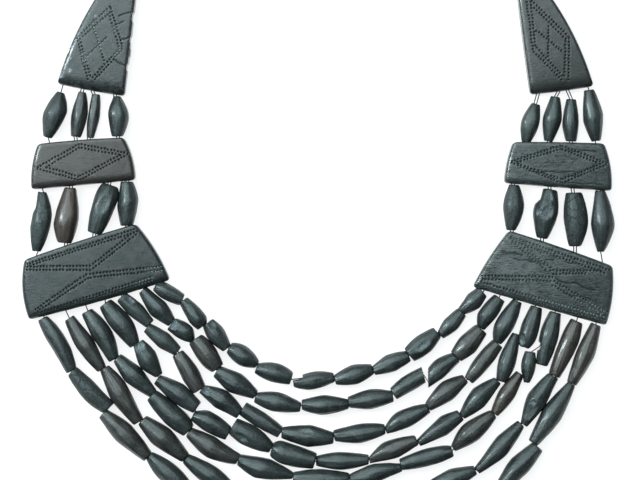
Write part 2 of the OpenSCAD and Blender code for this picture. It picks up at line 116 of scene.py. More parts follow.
# ---- Left terminal plate ----
# A narrow plate of jet, sawn and ground to a curved blade, then polished. Four bores
# drilled up from its lower edge meet inside it, and rows of dots were punched or drilled
# into the face.
MM = 0.001
PLATE_T = 7.6  # thickness at the middle, in mm like all that follow
DOME_R = 220  # the upper face is gently domed
CORNER_TRIM = 1.7  # taken off each edge at a rounded corner
CORNER_SHARES = (0.12, 0.24, 0.36, 0.5, 0.64, 0.76, 0.88)
EDGE_STEP = 0.32
EDGE_ROUND = 1.1
EDGE_INSETS = (0.5, 0.36, 0.24, 0.14, 0.06, 0.02)
WALL_TOP, WALL_FOOT, WALL_RINGS = 0.25, 0.6, 14  # below the rounding, and above the table
FOOT_RINGS = ((0.08, 0.35), (0.25, 0.12), (0.6, 0.0))  # inset and height
FACE_GRID, MARK_CLEAR, EDGE_CLEAR = 0.5, 0.22, 0.72  # loose points keep clear of marks and edge
DOT_PITCH, DOT_WOBBLE, DOT_WIDTH, DOT_DEPTH = 1.34, 0.07, 0.6, 0.4
DOT_RINGS = ((0.13, 6), (0.24, 10), (0.35, 14), (0.47, 14))  # radius and count of points
CRACK_STEP = 0.25
CRACK_SIDES = (-1.6, -0.7, 0, 0.7, 1.6)  # points across a crack, in its widths
BORE_H, BORE_R, BORE_DEPTH = 3.8, 1.0, 1.4


def patch(points, x, y, radius, fade):
    """How strongly a round patch shows at each point, from 0 to 1."""
    return np.clip(fade - np.hypot(points[:, 0] - x, points[:, 1] - y) / radius, 0, 1)


def plate_edge(corners, nicks):
    """Points round a plate, counterclockwise, their outward directions and their sides."""
    n = len(corners)
    xy = [np.array(c[:2], float) for c in corners]

    def on_side(i, share):
        p, q = xy[i % n], xy[(i + 1) % n]
        out = np.array([q[1] - p[1], p[0] - q[0]]) / np.linalg.norm(q - p)
        return p + (q - p) * share + out * 4 * corners[i % n][2] * share * (1 - share)

    def trim(i):
        length = np.linalg.norm(xy[(i + 1) % n] - xy[i % n])
        return length, min(CORNER_TRIM, length / 3) / length

    points, sides = [], []
    for i in range(n):
        length, first = trim(i)
        count = max(6, int(length / EDGE_STEP))
        side = [on_side(i, first + (1 - 2 * first) * j / count) for j in range(count + 1)]
        following = on_side(i + 1, trim(i + 1)[1])
        corner = xy[(i + 1) % n]
        bend = [side[-1] * (1 - t) ** 2 + corner * 2 * t * (1 - t) + following * t * t
                for t in CORNER_SHARES]
        points += side + bend
        sides += [i] * len(side) + [n] * len(bend)
    whole = np.array(points)
    run = np.roll(whole, -1, 0) - np.roll(whole, 1, 0)
    outward = np.stack([run[:, 1], -run[:, 0]], 1) / np.linalg.norm(run, axis=1)[:, None]
    edge = whole.copy()
    for x, y, width, depth in nicks:
        near = patch(whole, x, y, width, 1)
        edge -= outward * (depth * np.minimum(near * 2.5, 1))[:, None]
    return edge, whole, outward, np.array(sides)


def dot_points(rows):
    """Middles of the dots along straight rows, a little unevenly spaced."""
    points = []
    for number, (x1, y1, x2, y2) in enumerate(rows):
        count = max(2, round(math.hypot(x2 - x1, y2 - y1) / DOT_PITCH))
        wobble = np.random.default_rng(17 + number).normal(0, DOT_WOBBLE, (count + 1, 2))
        share = np.arange(count + 1)[:, None] / count
        points.append(np.array([x1, y1]) * (1 - share) + np.array([x2, y2]) * share + wobble)
    return np.vstack(points)


def dome_height(points, middle):
    return PLATE_T - DOME_R + np.sqrt(DOME_R ** 2 - ((points - middle) ** 2).sum(1))


def points_round_marks(dots, cracks):
    """Close points round each dot and along each crack, which give them their shape."""
    spots = [dots]
    for reach, count in DOT_RINGS:
        turn = np.arange(count) * 2 * math.pi / count + reach
        spots += [dots + reach * np.array([math.cos(a), math.sin(a)]) for a in turn]
    for width, depth, line in cracks:
        for (x1, y1), (x2, y2) in zip(line[:-1], line[1:]):
            length = math.hypot(x2 - x1, y2 - y1)
            across = np.array([y1 - y2, x2 - x1]) / length
            share = np.linspace(0, 1, int(length / CRACK_STEP) + 2)[:, None]
            on_line = np.array([x1, y1]) * (1 - share) + np.array([x2, y2]) * share
            spots += [on_line + across * width * k for k in CRACK_SIDES]
    return np.vstack(spots)


def store(mesh, **facts):
    """Keeps numbers on a mesh, one for each of its points."""
    for key, values in facts.items():
        mesh.attributes.new(key, "FLOAT", "POINT").data.foreach_set("value", values)


def ground_plate(name, corners, mouths, dots, soft_edges, cracks, nicks):
    """Mesh of a plate: domed face, rounded edges, flat underside and bore mouths, marked
    for painted shade.
    """
    edge, whole, outward, sides = plate_edge(corners, nicks)
    n = len(edge)
    middle = np.mean([c[:2] for c in corners], 0)

    def inward(p, own):
        return np.min((whole[own] * outward[own]).sum(1) - p @ outward[own].T, axis=1)

    def face_height(p):
        drop = np.zeros(len(p))
        for side, (wide, deep) in enumerate(soft_edges + [(EDGE_ROUND, EDGE_ROUND)]):
            short = np.clip(1 - inward(p, sides == side) / wide, 0, 1)
            drop = np.maximum(drop, deep * (1 - np.sqrt(1 - short ** 2)))
        return dome_height(p, middle) - drop

    rings = []
    for inset in EDGE_INSETS:
        p = edge - outward * inset
        rings.append(np.column_stack([p, face_height(p)]))
    top = rings[-1][:, 2] - WALL_TOP
    for share in np.linspace(1, 0, WALL_RINGS):
        rings.append(np.column_stack([edge, WALL_FOOT + (top - WALL_FOOT) * share]))
    for inset, height in FOOT_RINGS:
        rings.append(np.column_stack([edge - outward * inset, np.full(n, height)]))
    inner = rings[0][:, :2]
    low, high = inner.min(0), inner.max(0)
    gx, gy = np.meshgrid(*(np.arange(low[k], high[k], FACE_GRID) for k in (0, 1)))
    gx = gx + (np.arange(gx.shape[0]) % 2)[:, None] * FACE_GRID / 2
    loose = np.column_stack([gx.ravel(), gy.ravel()])
    spots = points_round_marks(dots, cracks)
    away = np.full(len(loose), 9.0)
    for part in np.array_split(spots, max(1, len(spots) // 2000)):
        away = np.minimum(away, np.min(np.hypot(
            loose[:, :1] - part[:, 0], loose[:, 1:] - part[:, 1]), axis=1))
    loose = np.vstack([loose[away > MARK_CLEAR], spots])
    loose = loose[inward(loose, sides >= 0) > EDGE_CLEAR]
    flat = np.vstack([inner, loose])
    got = delaunay_2d_cdt([Vector(p) for p in flat], [], [list(range(n))], 1, 0.02)
    face_xy = np.array([tuple(v) for v in got[0]])
    place = {o: i for i, origins in enumerate(got[3]) for o in origins if 0 <= o < n}
    count = len(face_xy)
    verts = np.vstack([np.column_stack([face_xy, face_height(face_xy)]), *rings[1:],
                       [[middle[0], middle[1], 0]]])
    faces = [tuple(f) for f in got[2]]
    index = [np.array([place[i] for i in range(n)])]
    index += [count + k * n + np.arange(n) for k in range(len(rings) - 1)]
    for a, b in zip(index[:-1], index[1:]):
        faces += zip(np.roll(a, -1), a, b, np.roll(b, -1))
    faces += zip(np.roll(index[-1], -1), index[-1], [len(verts) - 1] * n)
    # The bore mouths are marked so that the finish paints them near black, as painted shade in the
    # holes.
    bore = np.zeros(len(verts))
    on_wall = (np.arange(len(verts)) >= count + len(EDGE_INSETS) * n) & (verts[:, 2] > 0.3)
    for x, y in mouths:
        nearest = np.argmin(((edge - (x, y)) ** 2).sum(1))
        way = outward[nearest]
        off = verts[:, :2] - edge[nearest]
        near = np.hypot(off[:, 0], off[:, 1]) < 2 * BORE_R
        reach = np.hypot(off @ np.array([-way[1], way[0]]), verts[:, 2] - BORE_H)
        hole = near & on_wall & (reach < BORE_R)
        verts[hole, :2] -= way * BORE_DEPTH
        bore[hole] = 1
    mesh = bpy.data.meshes.new(name)
    mesh.from_pydata((verts * MM).tolist(), [], faces)
    mesh.update()
    mesh.shade_smooth()
    handled = np.exp(-(np.maximum(inward(verts[:, :2], sides >= 0) - 0.4, 0) / 0.9) ** 2)
    handled *= np.clip((verts[:, 2] - 2.5) / 2, 0, 1)
    store(mesh, bore=bore, handled=handled)
    return in_scene(name, mesh), middle


class Output:
    """What a node gives. Arithmetic on it adds the nodes that work it out."""

    def __init__(self, kit, socket):
        self.kit, self.socket = kit, socket

    def __add__(self, other):
        return self.kit.maths("ADD", self, other)

    def __sub__(self, other):
        return self.kit.maths("SUBTRACT", self, other)

    def __rsub__(self, other):
        return self.kit.maths("SUBTRACT", other, self)

    def __mul__(self, other):
        return self.kit.maths("MULTIPLY", self, other)

    def __truediv__(self, other):
        return self.kit.maths("DIVIDE", self, other)

    __radd__, __rmul__ = __add__, __mul__

    def stretched(self, low, high, to_low, to_high, **settings):
        """The range from low to high, spread over another range."""
        return self.kit.add("ShaderNodeMapRange", {
            "Value": self, "From Min": low, "From Max": high, "To Min": to_low, "To Max": to_high},
            **settings)


class NodeKit:
    """Short ways to add nodes to one tree. An input is another node's output or a value."""

    def __init__(self, tree):
        self.tree = tree

    def give(self, socket, value):
        if isinstance(value, Output):
            self.tree.links.new(value.socket, socket)
        elif socket.type == "RGBA":
            socket.default_value = (*value, 1)
        else:
            socket.default_value = value

    def fill(self, node, inputs):
        for key, value in inputs.items():
            self.give(node.inputs[key], value)

    def add(self, kind, inputs=(), out=0, **settings):
        node = self.tree.nodes.new(kind)
        for key, value in settings.items():
            setattr(node, key, value)
        self.fill(node, dict(inputs))
        return Output(self, node.outputs[out]) if len(node.outputs) else None

    def maths(self, operation, *values, **settings):
        return self.add("ShaderNodeMath", enumerate(values), operation=operation, **settings)

    def parts(self, vector):
        split = self.add("ShaderNodeSeparateXYZ", {0: vector})
        return [Output(self, socket) for socket in split.socket.node.outputs]

    def noise(self, where, scale, detail=2, rough=0.5, seed=None, out="Fac"):
        inputs = {"Vector": where, "W": seed, "Scale": scale, "Detail": detail, "Roughness": rough}
        inputs = {key: value for key, value in inputs.items() if value is not None}
        return self.add("ShaderNodeTexNoise", inputs, out,
                        noise_dimensions="3D" if seed is None else "4D")

    def scaled(self, vector, scale):
        return self.add("ShaderNodeMapping", {"Vector": vector, "Scale": scale})

    def read(self, attribute, out="Fac"):
        return self.add("ShaderNodeAttribute", out=out, attribute_name=attribute)

    def over(self, below, *layers):
        """Colours laid one over the other, each as (share, colour)."""
        for share, colour in layers:
            below = self.add("ShaderNodeMix", {"Factor": share, "A": below, "B": colour}, "Result",
                             data_type="RGBA")
        return below


def new_tree(name, **inputs):
    tree = bpy.data.node_groups.new(name, "GeometryNodeTree")
    for title, kind in {"Geometry": "Geometry", **inputs}.items():
        title = title.replace("_", " ")
        tree.interface.new_socket(title, in_out="INPUT", socket_type="NodeSocket" + kind)
    tree.interface.new_socket("Geometry", in_out="OUTPUT", socket_type="NodeSocketGeometry")
    kit = NodeKit(tree)
    given = kit.add("NodeGroupInput").socket.node.outputs
    return tree, kit, {socket.name: Output(kit, socket) for socket in given}


def drilled_dots_tree():
    """Geometry nodes that sink a round pit under each point of a dot pattern."""
    tree, kit, given = new_tree(
        "drilled_dots", Dots="Object", Dot_width="Float", Dot_depth="Float", Finish="Material")
    pattern = kit.add("GeometryNodeObjectInfo", {"Object": given["Dots"]}, "Geometry")
    nearest = kit.add("GeometryNodeProximity", {0: pattern}, "Distance", target_element="POINTS")
    ragged = kit.maths("MULTIPLY_ADD", kit.noise(None, 1500), 0.09 * MM, nearest)
    width = given["Dot width"]
    bowl = ragged.stretched(width * 0.42, width * 0.78, 1, 0, interpolation_type="SMOOTHSTEP")
    marked = kit.add("GeometryNodeStoreNamedAttribute", {
        "Geometry": given["Geometry"], "Name": "dot", "Value": bowl}, data_type="FLOAT")
    down = kit.add("ShaderNodeCombineXYZ", {"Z": bowl * given["Dot depth"] * -1})
    sunk = kit.add("GeometryNodeSetPosition", {"Geometry": marked, "Offset": down})
    whole = kit.add("GeometryNodeRealizeInstances", {0: sunk})
    painted = kit.add("GeometryNodeSetMaterial", {"Geometry": whole, "Material": given["Finish"]})
    kit.add("NodeGroupOutput", {0: painted})
    return tree


DRILLED_DOTS = drilled_dots_tree()


def with_nodes(thing, tree, values):
    """Runs a geometry-nodes tree on thing with named inputs, and keeps the plain mesh."""
    modifier = thing.modifiers.new(tree.name, "NODES")
    modifier.node_group = tree
    for item in tree.interface.items_tree:
        if item.in_out == "INPUT" and item.name in values:
            modifier[item.identifier] = values[item.name]
    bpy.context.view_layer.update()
    graph = bpy.context.evaluated_depsgraph_get()
    plain = bpy.data.meshes.new_from_object(
        thing.evaluated_get(graph), preserve_all_data_layers=True, depsgraph=graph)
    thing.modifiers.clear()
    plain.name = thing.name
    thing.data = plain


def points_of(mesh):
    """Where a mesh's points lie, in mm."""
    co = np.empty(len(mesh.vertices) * 3)
    mesh.vertices.foreach_get("co", co)
    return co.reshape(-1, 3) / MM


def mark_plate(plate, cracks, pale, dark_patches, glint_spots):
    """Cracks as narrow grooves, dots filled with pale dust, dark patches and pale spots of painted
    glint.
    """
    mesh = plate.data
    co = points_of(mesh)
    crack, dust, smudge, fleck = np.zeros((4, len(co)))
    upper = co[:, 2] > 3
    for width, depth, line in cracks:
        far = np.full(len(co), 99.0)
        for (x1, y1), (x2, y2) in zip(line[:-1], line[1:]):
            a, d = np.array([x1, y1]), np.array([x2 - x1, y2 - y1])
            share = np.clip(((co[:, :2] - a) @ d) / (d @ d), 0, 1)
            far = np.minimum(far, np.linalg.norm(co[:, :2] - a - share[:, None] * d, axis=1))
        dip = np.exp(-(far / width) ** 2) * upper
        co[:, 2] -= depth * dip
        crack = np.maximum(crack, dip)
    for x, y, radius, share in pale:
        dust = np.maximum(dust, patch(co, x, y, radius, 1.6) * share)
    for marks, values in ((dark_patches, smudge), (glint_spots, fleck)):
        for x, y, radius in marks:
            values[:] = np.maximum(values, patch(co, x, y, radius, 1.5) * upper)
    mesh.vertices.foreach_set("co", (co * MM).ravel())
    store(mesh, crack=crack, dust=dust, smudge=smudge, fleck=fleck)
    mesh.update()


def jet_plate_finish(name, dark, light, grain_lines, line_gap, sheen):
    """Polished jet: slate black, mottled, with wavy grain, dots painted near black as shade in
    the pits, and pale dust.
    """
    finish, jet = new_finish(name)
    kit = NodeKit(finish.node_tree)
    where = kit.add("ShaderNodeTexCoord", out="Object")
    in_mm = kit.scaled(where, (1000, 1000, 1000))
    fibres = kit.noise(kit.scaled(where, (240, 2100, 600)), 1, 6, 0.62)
    pits = kit.noise(in_mm, 1.1, 5, 0.7)
    flow = kit.scaled(in_mm, (0.026 / line_gap, 0.28 / line_gap, 0.1))
    level = kit.maths("PINGPONG", kit.noise(flow, 1, 4, 0.6), 0.045)
    some = kit.noise(in_mm, 0.2, 3).stretched(0.32, 0.52, 0.15, 1)
    lines = level.stretched(0.0, 0.013, grain_lines, 0) * some
    # Dark patches where the plate gives them, broken up by noise.
    patch_darkening = kit.read("smudge") * kit.noise(in_mm, 0.9, 4).stretched(0.40, 0.56, 0, 1)
    # Painted highlight: small pale glints laid where a light would catch the face.
    glints = kit.read("fleck") * kit.noise(in_mm, 1.6, 3).stretched(0.42, 0.6, 0.2, 1)
    dot, dust, handled = kit.read("dot"), kit.read("dust"), kit.read("handled")
    pit_black = (0.010, 0.013, 0.013)
    colour = kit.over(
        dark,
        (kit.noise(in_mm, 0.11, 6, 0.6).stretched(0.35, 0.65, 0, 1), light),
        (pits.stretched(0.42, 0.62, 0, 0.45), pit_black),
        (fibres.stretched(0.35, 0.65, 0, 0.3), pit_black),
        (patch_darkening, (0.001, 0.0012, 0.0012)),
        (glints, (0.34, 0.40, 0.42)),
        (lines, (0.003, 0.004, 0.004)),
        # Painted shade: each drilled dot is painted near black inside its pit, or pale where dust
        # fills it.
        (kit.maths("MULTIPLY_ADD", dust, -0.45, dot).stretched(0.1, 0.55, 0, 1),
         kit.over((0.0015, 0.002, 0.002), (dust, (0.25, 0.30, 0.29)))),
        (kit.read("crack").stretched(0.2, 0.9, 0, 0.9), (0.004, 0.005, 0.005)),
        # Painted shade: the bore mouths are painted near black inside the holes.
        (kit.read("bore").stretched(0.3, 0.9, 0, 1), (0.002, 0.002, 0.002)),
    )
    rub = kit.noise(in_mm, 0.35, 4)
    smoothed = kit.maths("MULTIPLY_ADD", handled, -0.2, rub.stretched(0.3, 0.7, 0.36, 0.50))
    waxed = kit.maths("MULTIPLY_ADD", handled, 0.45, rub.stretched(0.45, 0.6, 0.08, 0.32))
    relief = kit.maths("MULTIPLY_ADD", lines, -1.0, kit.maths("MULTIPLY_ADD", pits, -1.5, fibres))
    bump = kit.add("ShaderNodeBump", {"Strength": 0.8, "Distance": 0.14 * MM, "Height": relief})
    kit.fill(jet, {
        "Base Color": colour, "IOR": 1.62, "Specular Tint": sheen, "Normal": bump,
        "Roughness": kit.maths("MAXIMUM", smoothed, dot.stretched(0, 1, 0, 0.9)),
        "Coat Weight": waxed, "Coat Roughness": 0.14})
    return finish


def decorated_plate(name, corners, mouths, rows, finish, soft_edges,
                    cracks=(), nicks=(), pale=(), dark_patches=(), glint_spots=()):
    """A whole plate: ground, cracked and nicked where it is, and drilled with its dots. In mm,
    a corner is x, y and how far the edge after it bows out. A row of dots is its two ends. A soft
    edge is how wide and deep it is rounded. A crack is its width, depth and points, a nick x, y,
    width and depth. Pale dust is x, y, radius and strength, a dark patch x, y and radius, and a
    painted glint spot x, y and radius."""
    dots = dot_points(rows)
    plate, middle = ground_plate(name + "_carved", corners, mouths, dots, soft_edges, cracks, nicks)
    mark_plate(plate, cracks, pale, dark_patches, glint_spots)
    marks = in_scene(name + "_dots", bpy.data.meshes.new(name + "_dots"))
    on_face = np.column_stack([dots, dome_height(dots, middle)])
    marks.data.from_pydata((on_face * MM).tolist(), [], [])
    with_nodes(plate, DRILLED_DOTS, {
        "Dots": marks, "Dot width": DOT_WIDTH * MM, "Dot depth": DOT_DEPTH * MM, "Finish": finish})
    bpy.data.objects.remove(marks)
    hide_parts(name)
    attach(plate, "root")


smooth_jet = jet_plate_finish(
    "smooth_jet_plate", (0.019, 0.024, 0.024), (0.042, 0.049, 0.049),
    grain_lines=0.10, line_gap=0.6, sheen=(0.95, 1, 1))
LEFT_TERMINAL_MOUTHS = [(-102.0, 36.0), (-94.2, 34.3), (-90.2, 33.4), (-81.2, 32.1)]
LEFT_TERMINAL_TIP = (-74.5, 86.8)
decorated_plate(
    "left_terminal_plate",
    [[-104.4, 36.6, 0.3], [-77.4, 31.6, 0.2], [-71.2, 86.6, 0.2], [-77.4, 86.6, 2.8]],
    LEFT_TERMINAL_MOUTHS + [LEFT_TERMINAL_TIP],
    [
        [-83.0, 67.0, -95.2, 55.6], [-82.8, 64.8, -93.6, 55.2],
        [-96.1, 54.6, -91.8, 38.2], [-95.0, 54.0, -90.8, 39.6],
        [-89.0, 38.0, -78.0, 49.8], [-89.8, 39.0, -79.4, 50.0],
        [-82.6, 66.4, -77.8, 51.0], [-83.0, 63.2, -79.4, 51.0],
        [-89.6, 59.2, -85.3, 45.6], [-84.2, 54.6, -94.0, 45.8],
    ],
    smooth_jet,
    [(5.4, 2.4), (1.8, 1.2), (1.0, 0.8), (2.4, 1.4)],
    cracks=[
        (0.16, 0.3, [(-79.6, 63.2), (-77.0, 64.3), (-74.4, 64.8)]),
        (0.13, 0.2, [(-79.8, 60.0), (-77.4, 61.2)]),
        (0.18, 0.3, [(-78.6, 54.0), (-76.6, 54.2), (-74.8, 55.0)]),
        (0.16, 0.3, [(-81.4, 46.2), (-79.4, 44.6), (-76.6, 43.4)]),
        (0.12, 0.2, [(-78.8, 54.2), (-78.2, 51.8)]),
    ],
    nicks=[
        (-73.9, 63.0, 2.2, 0.5), (-75.0, 54.0, 1.4, 0.35), (-75.5, 48.8, 2.0, -0.3),
        (-76.3, 43.0, 1.6, 0.45), (-100.0, 49.5, 1.2, 0.3),
    ],
    # Dark patches along the lower edge.
    dark_patches=[
        (-79.6, 34.8, 3.4), (-84.6, 36.0, 2.4), (-89.2, 36.0, 2.6), (-94.0, 37.0, 2.0),
        (-98.6, 37.6, 2.4), (-102.6, 38.6, 1.6), (-88.0, 39.8, 0.9), (-97.0, 40.4, 1.0),
    ],
    # Painted highlights: small pale glint spots near the left edge.
    glint_spots=[
        (-102.6, 39.4, 0.8), (-103.0, 41.0, 0.6), (-99.2, 41.6, 0.7), (-99.0, 46.6, 0.5),
        (-98.8, 51.4, 0.5), (-88.6, 63.2, 0.5), (-101.4, 44.0, 0.4),
    ],
    pale=[
        (-88.4, 56.5, 2.4, 1), (-87.6, 51.6, 2.6, 1), (-92.6, 47.0, 2.2, 1), (-79.0, 48.6, 2.4, 1),
        (-82.0, 57.8, 1.6, 1), (-89.0, 60.4, 4.6, 0.35), (-93.6, 56.0, 3.0, 0.3),
        (-84.6, 64.6, 1.8, 0.35), (-90.2, 60.0, 0.9, 1), (-84.4, 53.8, 1.2, 1),
    ],
)


# ---- Right terminal plate ----
# The other terminal plate, ground narrower and more worn, with the same bores and a
# pattern of its own.
RIGHT_TERMINAL_MOUTHS = [(88.0, 32.4), (96.2, 33.3), (99.8, 33.8), (108.0, 35.1)]
RIGHT_TERMINAL_TIP = (81.1, 83.6)
dark_jet = jet_plate_finish(
    "dark_jet_plate", (0.014, 0.017, 0.015), (0.027, 0.031, 0.028),
    grain_lines=0.12, line_gap=0.6, sheen=(0.97, 1, 0.98))
decorated_plate(
    "right_terminal_plate",
    [[84.9, 32.2, 0.3], [110.3, 35.6, 3], [83.4, 83.4, 0.2], [78.6, 83.4, 0.3]],
    RIGHT_TERMINAL_MOUTHS + [RIGHT_TERMINAL_TIP],
    [
        [82.9, 73.0, 85.8, 50.0], [86.2, 49.0, 97.2, 38.0],
        [84.6, 71.8, 86.8, 51.6], [87.4, 50.6, 97.6, 39.6],
        [85.4, 69.4, 100.0, 55.2], [86.4, 66.6, 98.8, 54.2],
        [100.2, 54.4, 100.2, 38.0], [98.8, 53.2, 98.5, 39.6],
        [92.0, 59.2, 91.8, 47.2], [87.2, 57.5, 97.2, 49.5],
    ],
    dark_jet,
    [(5.4, 2.4), (1.4, 1.1), (1.0, 0.8), (1.8, 1.3)],
)


# ---- Left upper spacer ----
# A four-sided plate of jet drilled through from edge to edge in four places, so that it
# keeps four columns of beads apart.
LEFT_UPPER_BORES = [
    ((-107.4, 13.0), (-110.2, -5.5)),
    ((-96.8, 13.9), (-98.8, -4.5)),
    ((-91.7, 14.3), (-83.4, -3.1)),
    ((-80.0, 15.0), (-76.2, -2.4)),
]
warm_jet = jet_plate_finish(
    "warm_jet_plate", (0.022, 0.018, 0.016), (0.034, 0.029, 0.026),
    grain_lines=0.04, line_gap=0.6, sheen=(0.88, 0.85, 0.84))
decorated_plate(
    "left_upper_spacer",
    [[-114.6, -5.8, 0.1], [-73.0, -2.0, 1.1], [-77.6, 15.0, 0.3], [-112.0, 12.4, 1]],
    [mouth for bore in LEFT_UPPER_BORES for mouth in bore],
    [
        [-111.8, 3.0, -95.2, 12.2], [-108.4, 3.0, -95.2, 10.7],
        [-94.2, 12.1, -75.8, 8.6], [-94.2, 10.6, -79.2, 8.0],
        [-111.8, 2.4, -95.6, -2.2], [-108.0, 2.9, -95.6, -0.7],
        [-94.8, -2.0, -76.0, 8.0], [-94.8, -0.5, -78.8, 7.8],
    ],
    warm_jet,
    [(3.2, 2.1), (1.9, 1.4), (1.2, 0.9), (2.2, 1.6)],
)


# ---- Right upper spacer ----
# Its fellow on the right, sawn from jet with a coarse grain that has opened into cracks,
# and drilled through in four places.
RIGHT_UPPER_BORES = [
    ((83.4, 13.3), (78.0, -3.6)),
    ((92.4, 13.2), (92.6, -4.8)),
    ((101.2, 13.1), (101.8, -5.5)),
    ((111.0, 12.8), (113.0, -6.2)),
]
fine_grained_jet = jet_plate_finish(
    "fine_grained_jet_plate", (0.018, 0.025, 0.024), (0.032, 0.041, 0.040),
    grain_lines=0.6, line_gap=0.45, sheen=(0.93, 1, 1))
decorated_plate(
    "right_upper_spacer",
    [[74.4, -3.2, 0.2], [117.4, -6.4, 1.1], [114.4, 12.6, 0.2], [78.0, 13.2, 0.6]],
    [mouth for bore in RIGHT_UPPER_BORES for mouth in bore],
    [
        [77.4, 5.4, 96.8, 11.6], [79.6, 5.1, 96.8, 10.2],
        [97.6, 11.5, 115.2, 4.6], [97.6, 10.1, 112.4, 4.6],
        [77.4, 4.8, 96.8, -3.2], [80.0, 4.4, 96.8, -1.8],
        [97.6, -3.2, 115.2, 4.0], [97.6, -1.8, 112.8, 4.2],
    ],
    fine_grained_jet,
    [(2.6, 2.0), (2.0, 1.5), (1.4, 1.0), (2.0, 1.4)],
    cracks=[
        (0.11, 0.2, [(85.0, 1.4), (88.4, 0.9), (92.0, 1.3), (96.4, 0.8), (101.0, 1.2),
                     (105.0, 0.9)]),
        (0.10, 0.2, [(98.0, -3.6), (102.0, -3.2), (105.6, -3.9), (109.4, -3.4), (113.2, -4.2)]),
        (0.10, 0.2, [(100.0, 9.6), (103.6, 9.2), (107.0, 9.7), (111.0, 9.3)]),
    ],
)


# ---- Left lower spacer ----
# The large plate that the seven strands hang from. Four bores enter its upper edge, and
# seven leave its lower one. Its dots stand in two flat triangles, point to point.
LEFT_LOWER_TOPS = [(-112.6, -32.0), (-100.8, -28.1), (-89.6, -24.6), (-76.4, -20.8)]
LEFT_LOWER_MOUTHS = [
    (-64.6, -42.6), (-69.8, -44.3), (-78.6, -47.1), (-85.2, -49.1),
    (-93.2, -51.4), (-101.2, -53.6), (-109.6, -55.7),
]
slate_jet = jet_plate_finish(
    "slate_jet_plate", (0.008, 0.012, 0.012), (0.016, 0.021, 0.021),
    grain_lines=0.06, line_gap=0.6, sheen=(0.68, 0.74, 0.74))
decorated_plate(
    "left_lower_spacer",
    [[-115.6, -57.9, 0.7], [-59.2, -42.0, 1.2], [-72.9, -19.5, 0.4], [-117.4, -33.9, 1.7]],
    LEFT_LOWER_TOPS + LEFT_LOWER_MOUTHS,
    [
        [-116.2, -35.7, -72.0, -21.3], [-114.8, -36.2, -72.0, -22.7],
        [-116.0, -36.7, -90.8, -36.3], [-116.2, -38.0, -90.8, -38.0],
        [-89.6, -35.6, -73.6, -23.0], [-89.4, -37.2, -72.8, -24.0],
        [-112.8, -53.8, -92.4, -39.8], [-112.0, -54.6, -91.6, -41.3],
        [-90.8, -39.6, -62.8, -36.6], [-90.4, -41.0, -62.6, -38.2],
        [-112.8, -55.4, -66.4, -40.8], [-114.0, -56.2, -66.4, -42.2],
    ],
    slate_jet,
    [(3.2, 2.1), (1.9, 1.4), (1.2, 0.9), (2.2, 1.6)],
    pale=[(-64.5, -38.2, 3.2, 1), (-66.6, -41.2, 1.8, 0.8), (-70.6, -42.6, 2.4, 0.5)],
)


# ---- Right lower spacer ----
# The matching large plate, of coarse-grained jet with a long open crack. Pale dust is
# caught in the dots along its lower edge.
RIGHT_LOWER_TOPS = [(77.6, -22.5), (89.6, -26.3), (102.8, -30.8), (113.8, -34.8)]
RIGHT_LOWER_MOUTHS = [
    (66.6, -45.6), (73.0, -47.5), (80.0, -49.6), (86.8, -51.6),
    (95.0, -54.0), (104.0, -56.5), (111.4, -58.6),
]
coarse_jet = jet_plate_finish(
    "coarse_grained_jet_plate", (0.023, 0.031, 0.029), (0.040, 0.051, 0.049),
    grain_lines=0.9, line_gap=0.5, sheen=(0.92, 1, 1))
decorated_plate(
    "right_lower_spacer",
    [[61.9, -44.8, 0.2], [115.2, -60.2, 1.3], [117.8, -36.4, 0.4], [76.4, -22.2, 0.8]],
    RIGHT_LOWER_TOPS + RIGHT_LOWER_MOUTHS,
    [
        [77.2, -24.9, 116.4, -38.0], [77.8, -26.7, 114.4, -39.0],
        [79.9, -28.6, 90.8, -37.8], [82.6, -29.4, 92.8, -37.0],
        [92.8, -38.2, 112.8, -38.3], [94.0, -39.6, 106.8, -39.2],
        [65.6, -40.2, 93.6, -40.8], [65.6, -41.6, 92.8, -42.4],
        [94.4, -42.4, 115.2, -55.0], [93.6, -44.0, 112.8, -55.4],
        [65.2, -42.8, 115.2, -57.0], [66.8, -44.8, 114.4, -58.2],
    ],
    coarse_jet,
    [(3.2, 2.1), (2.0, 1.5), (1.6, 1.0), (1.8, 1.3)],
    pale=[
        (93.0, -51.2, 3.0, 0.8), (99.5, -53.2, 3.4, 0.9), (106.5, -55.4, 3.6, 1),
        (112.0, -56.4, 3.0, 1), (110.0, -53.0, 2.4, 0.8), (86.0, -46.0, 5.0, 0.25),
        (88.0, -30.5, 6.0, 0.3), (79.4, -26.6, 3.4, 0.4),
    ],
    cracks=[
        (0.2, 0.4, [(94.8, -41.0), (96.4, -42.4), (98.0, -43.0), (100.4, -43.4), (102.4, -43.2),
                    (104.0, -43.6), (105.2, -44.6), (107.6, -45.6), (110.8, -46.0)]),
        (0.13, 0.25, [(78.2, -33.4), (80.4, -34.2), (82.8, -34.0), (85.6, -34.9), (88.4, -34.6)]),
        (0.12, 0.25, [(73.6, -30.4), (76.0, -31.4), (78.8, -31.2), (81.6, -32.2)]),
        (0.12, 0.2, [(98.4, -34.6), (101.0, -35.5), (104.2, -35.3)]),
        (0.12, 0.22, [(98.0, -47.2), (101.2, -48.4), (105.6, -48.5), (109.0, -49.9)]),
    ],
)


# ---- Side beads between the upper plates, left ----
# Beads of jet, each whittled and ground to a long barrel, drilled from both ends and
# polished lengthways, so that faint facets run along it and its ends are cut square.
AROUND = 48
WORN_RIM = [(1, 0.35), (1, 0.66), (0.997, 0.79), (0.988, 0.88), (0.973, 0.95), (0.952, 0.985)]
WALL_POINTS, WALL_END = 33, 0.925
FACETS, FACET_WANDER = 9, 0.9
LUMPS_ALONG, LUMPS_ACROSS = 130, 330  # size of the unevenness, more for finer
END_EXTRA = 0.1  # added to each half of a bead, which closes the gap to the next


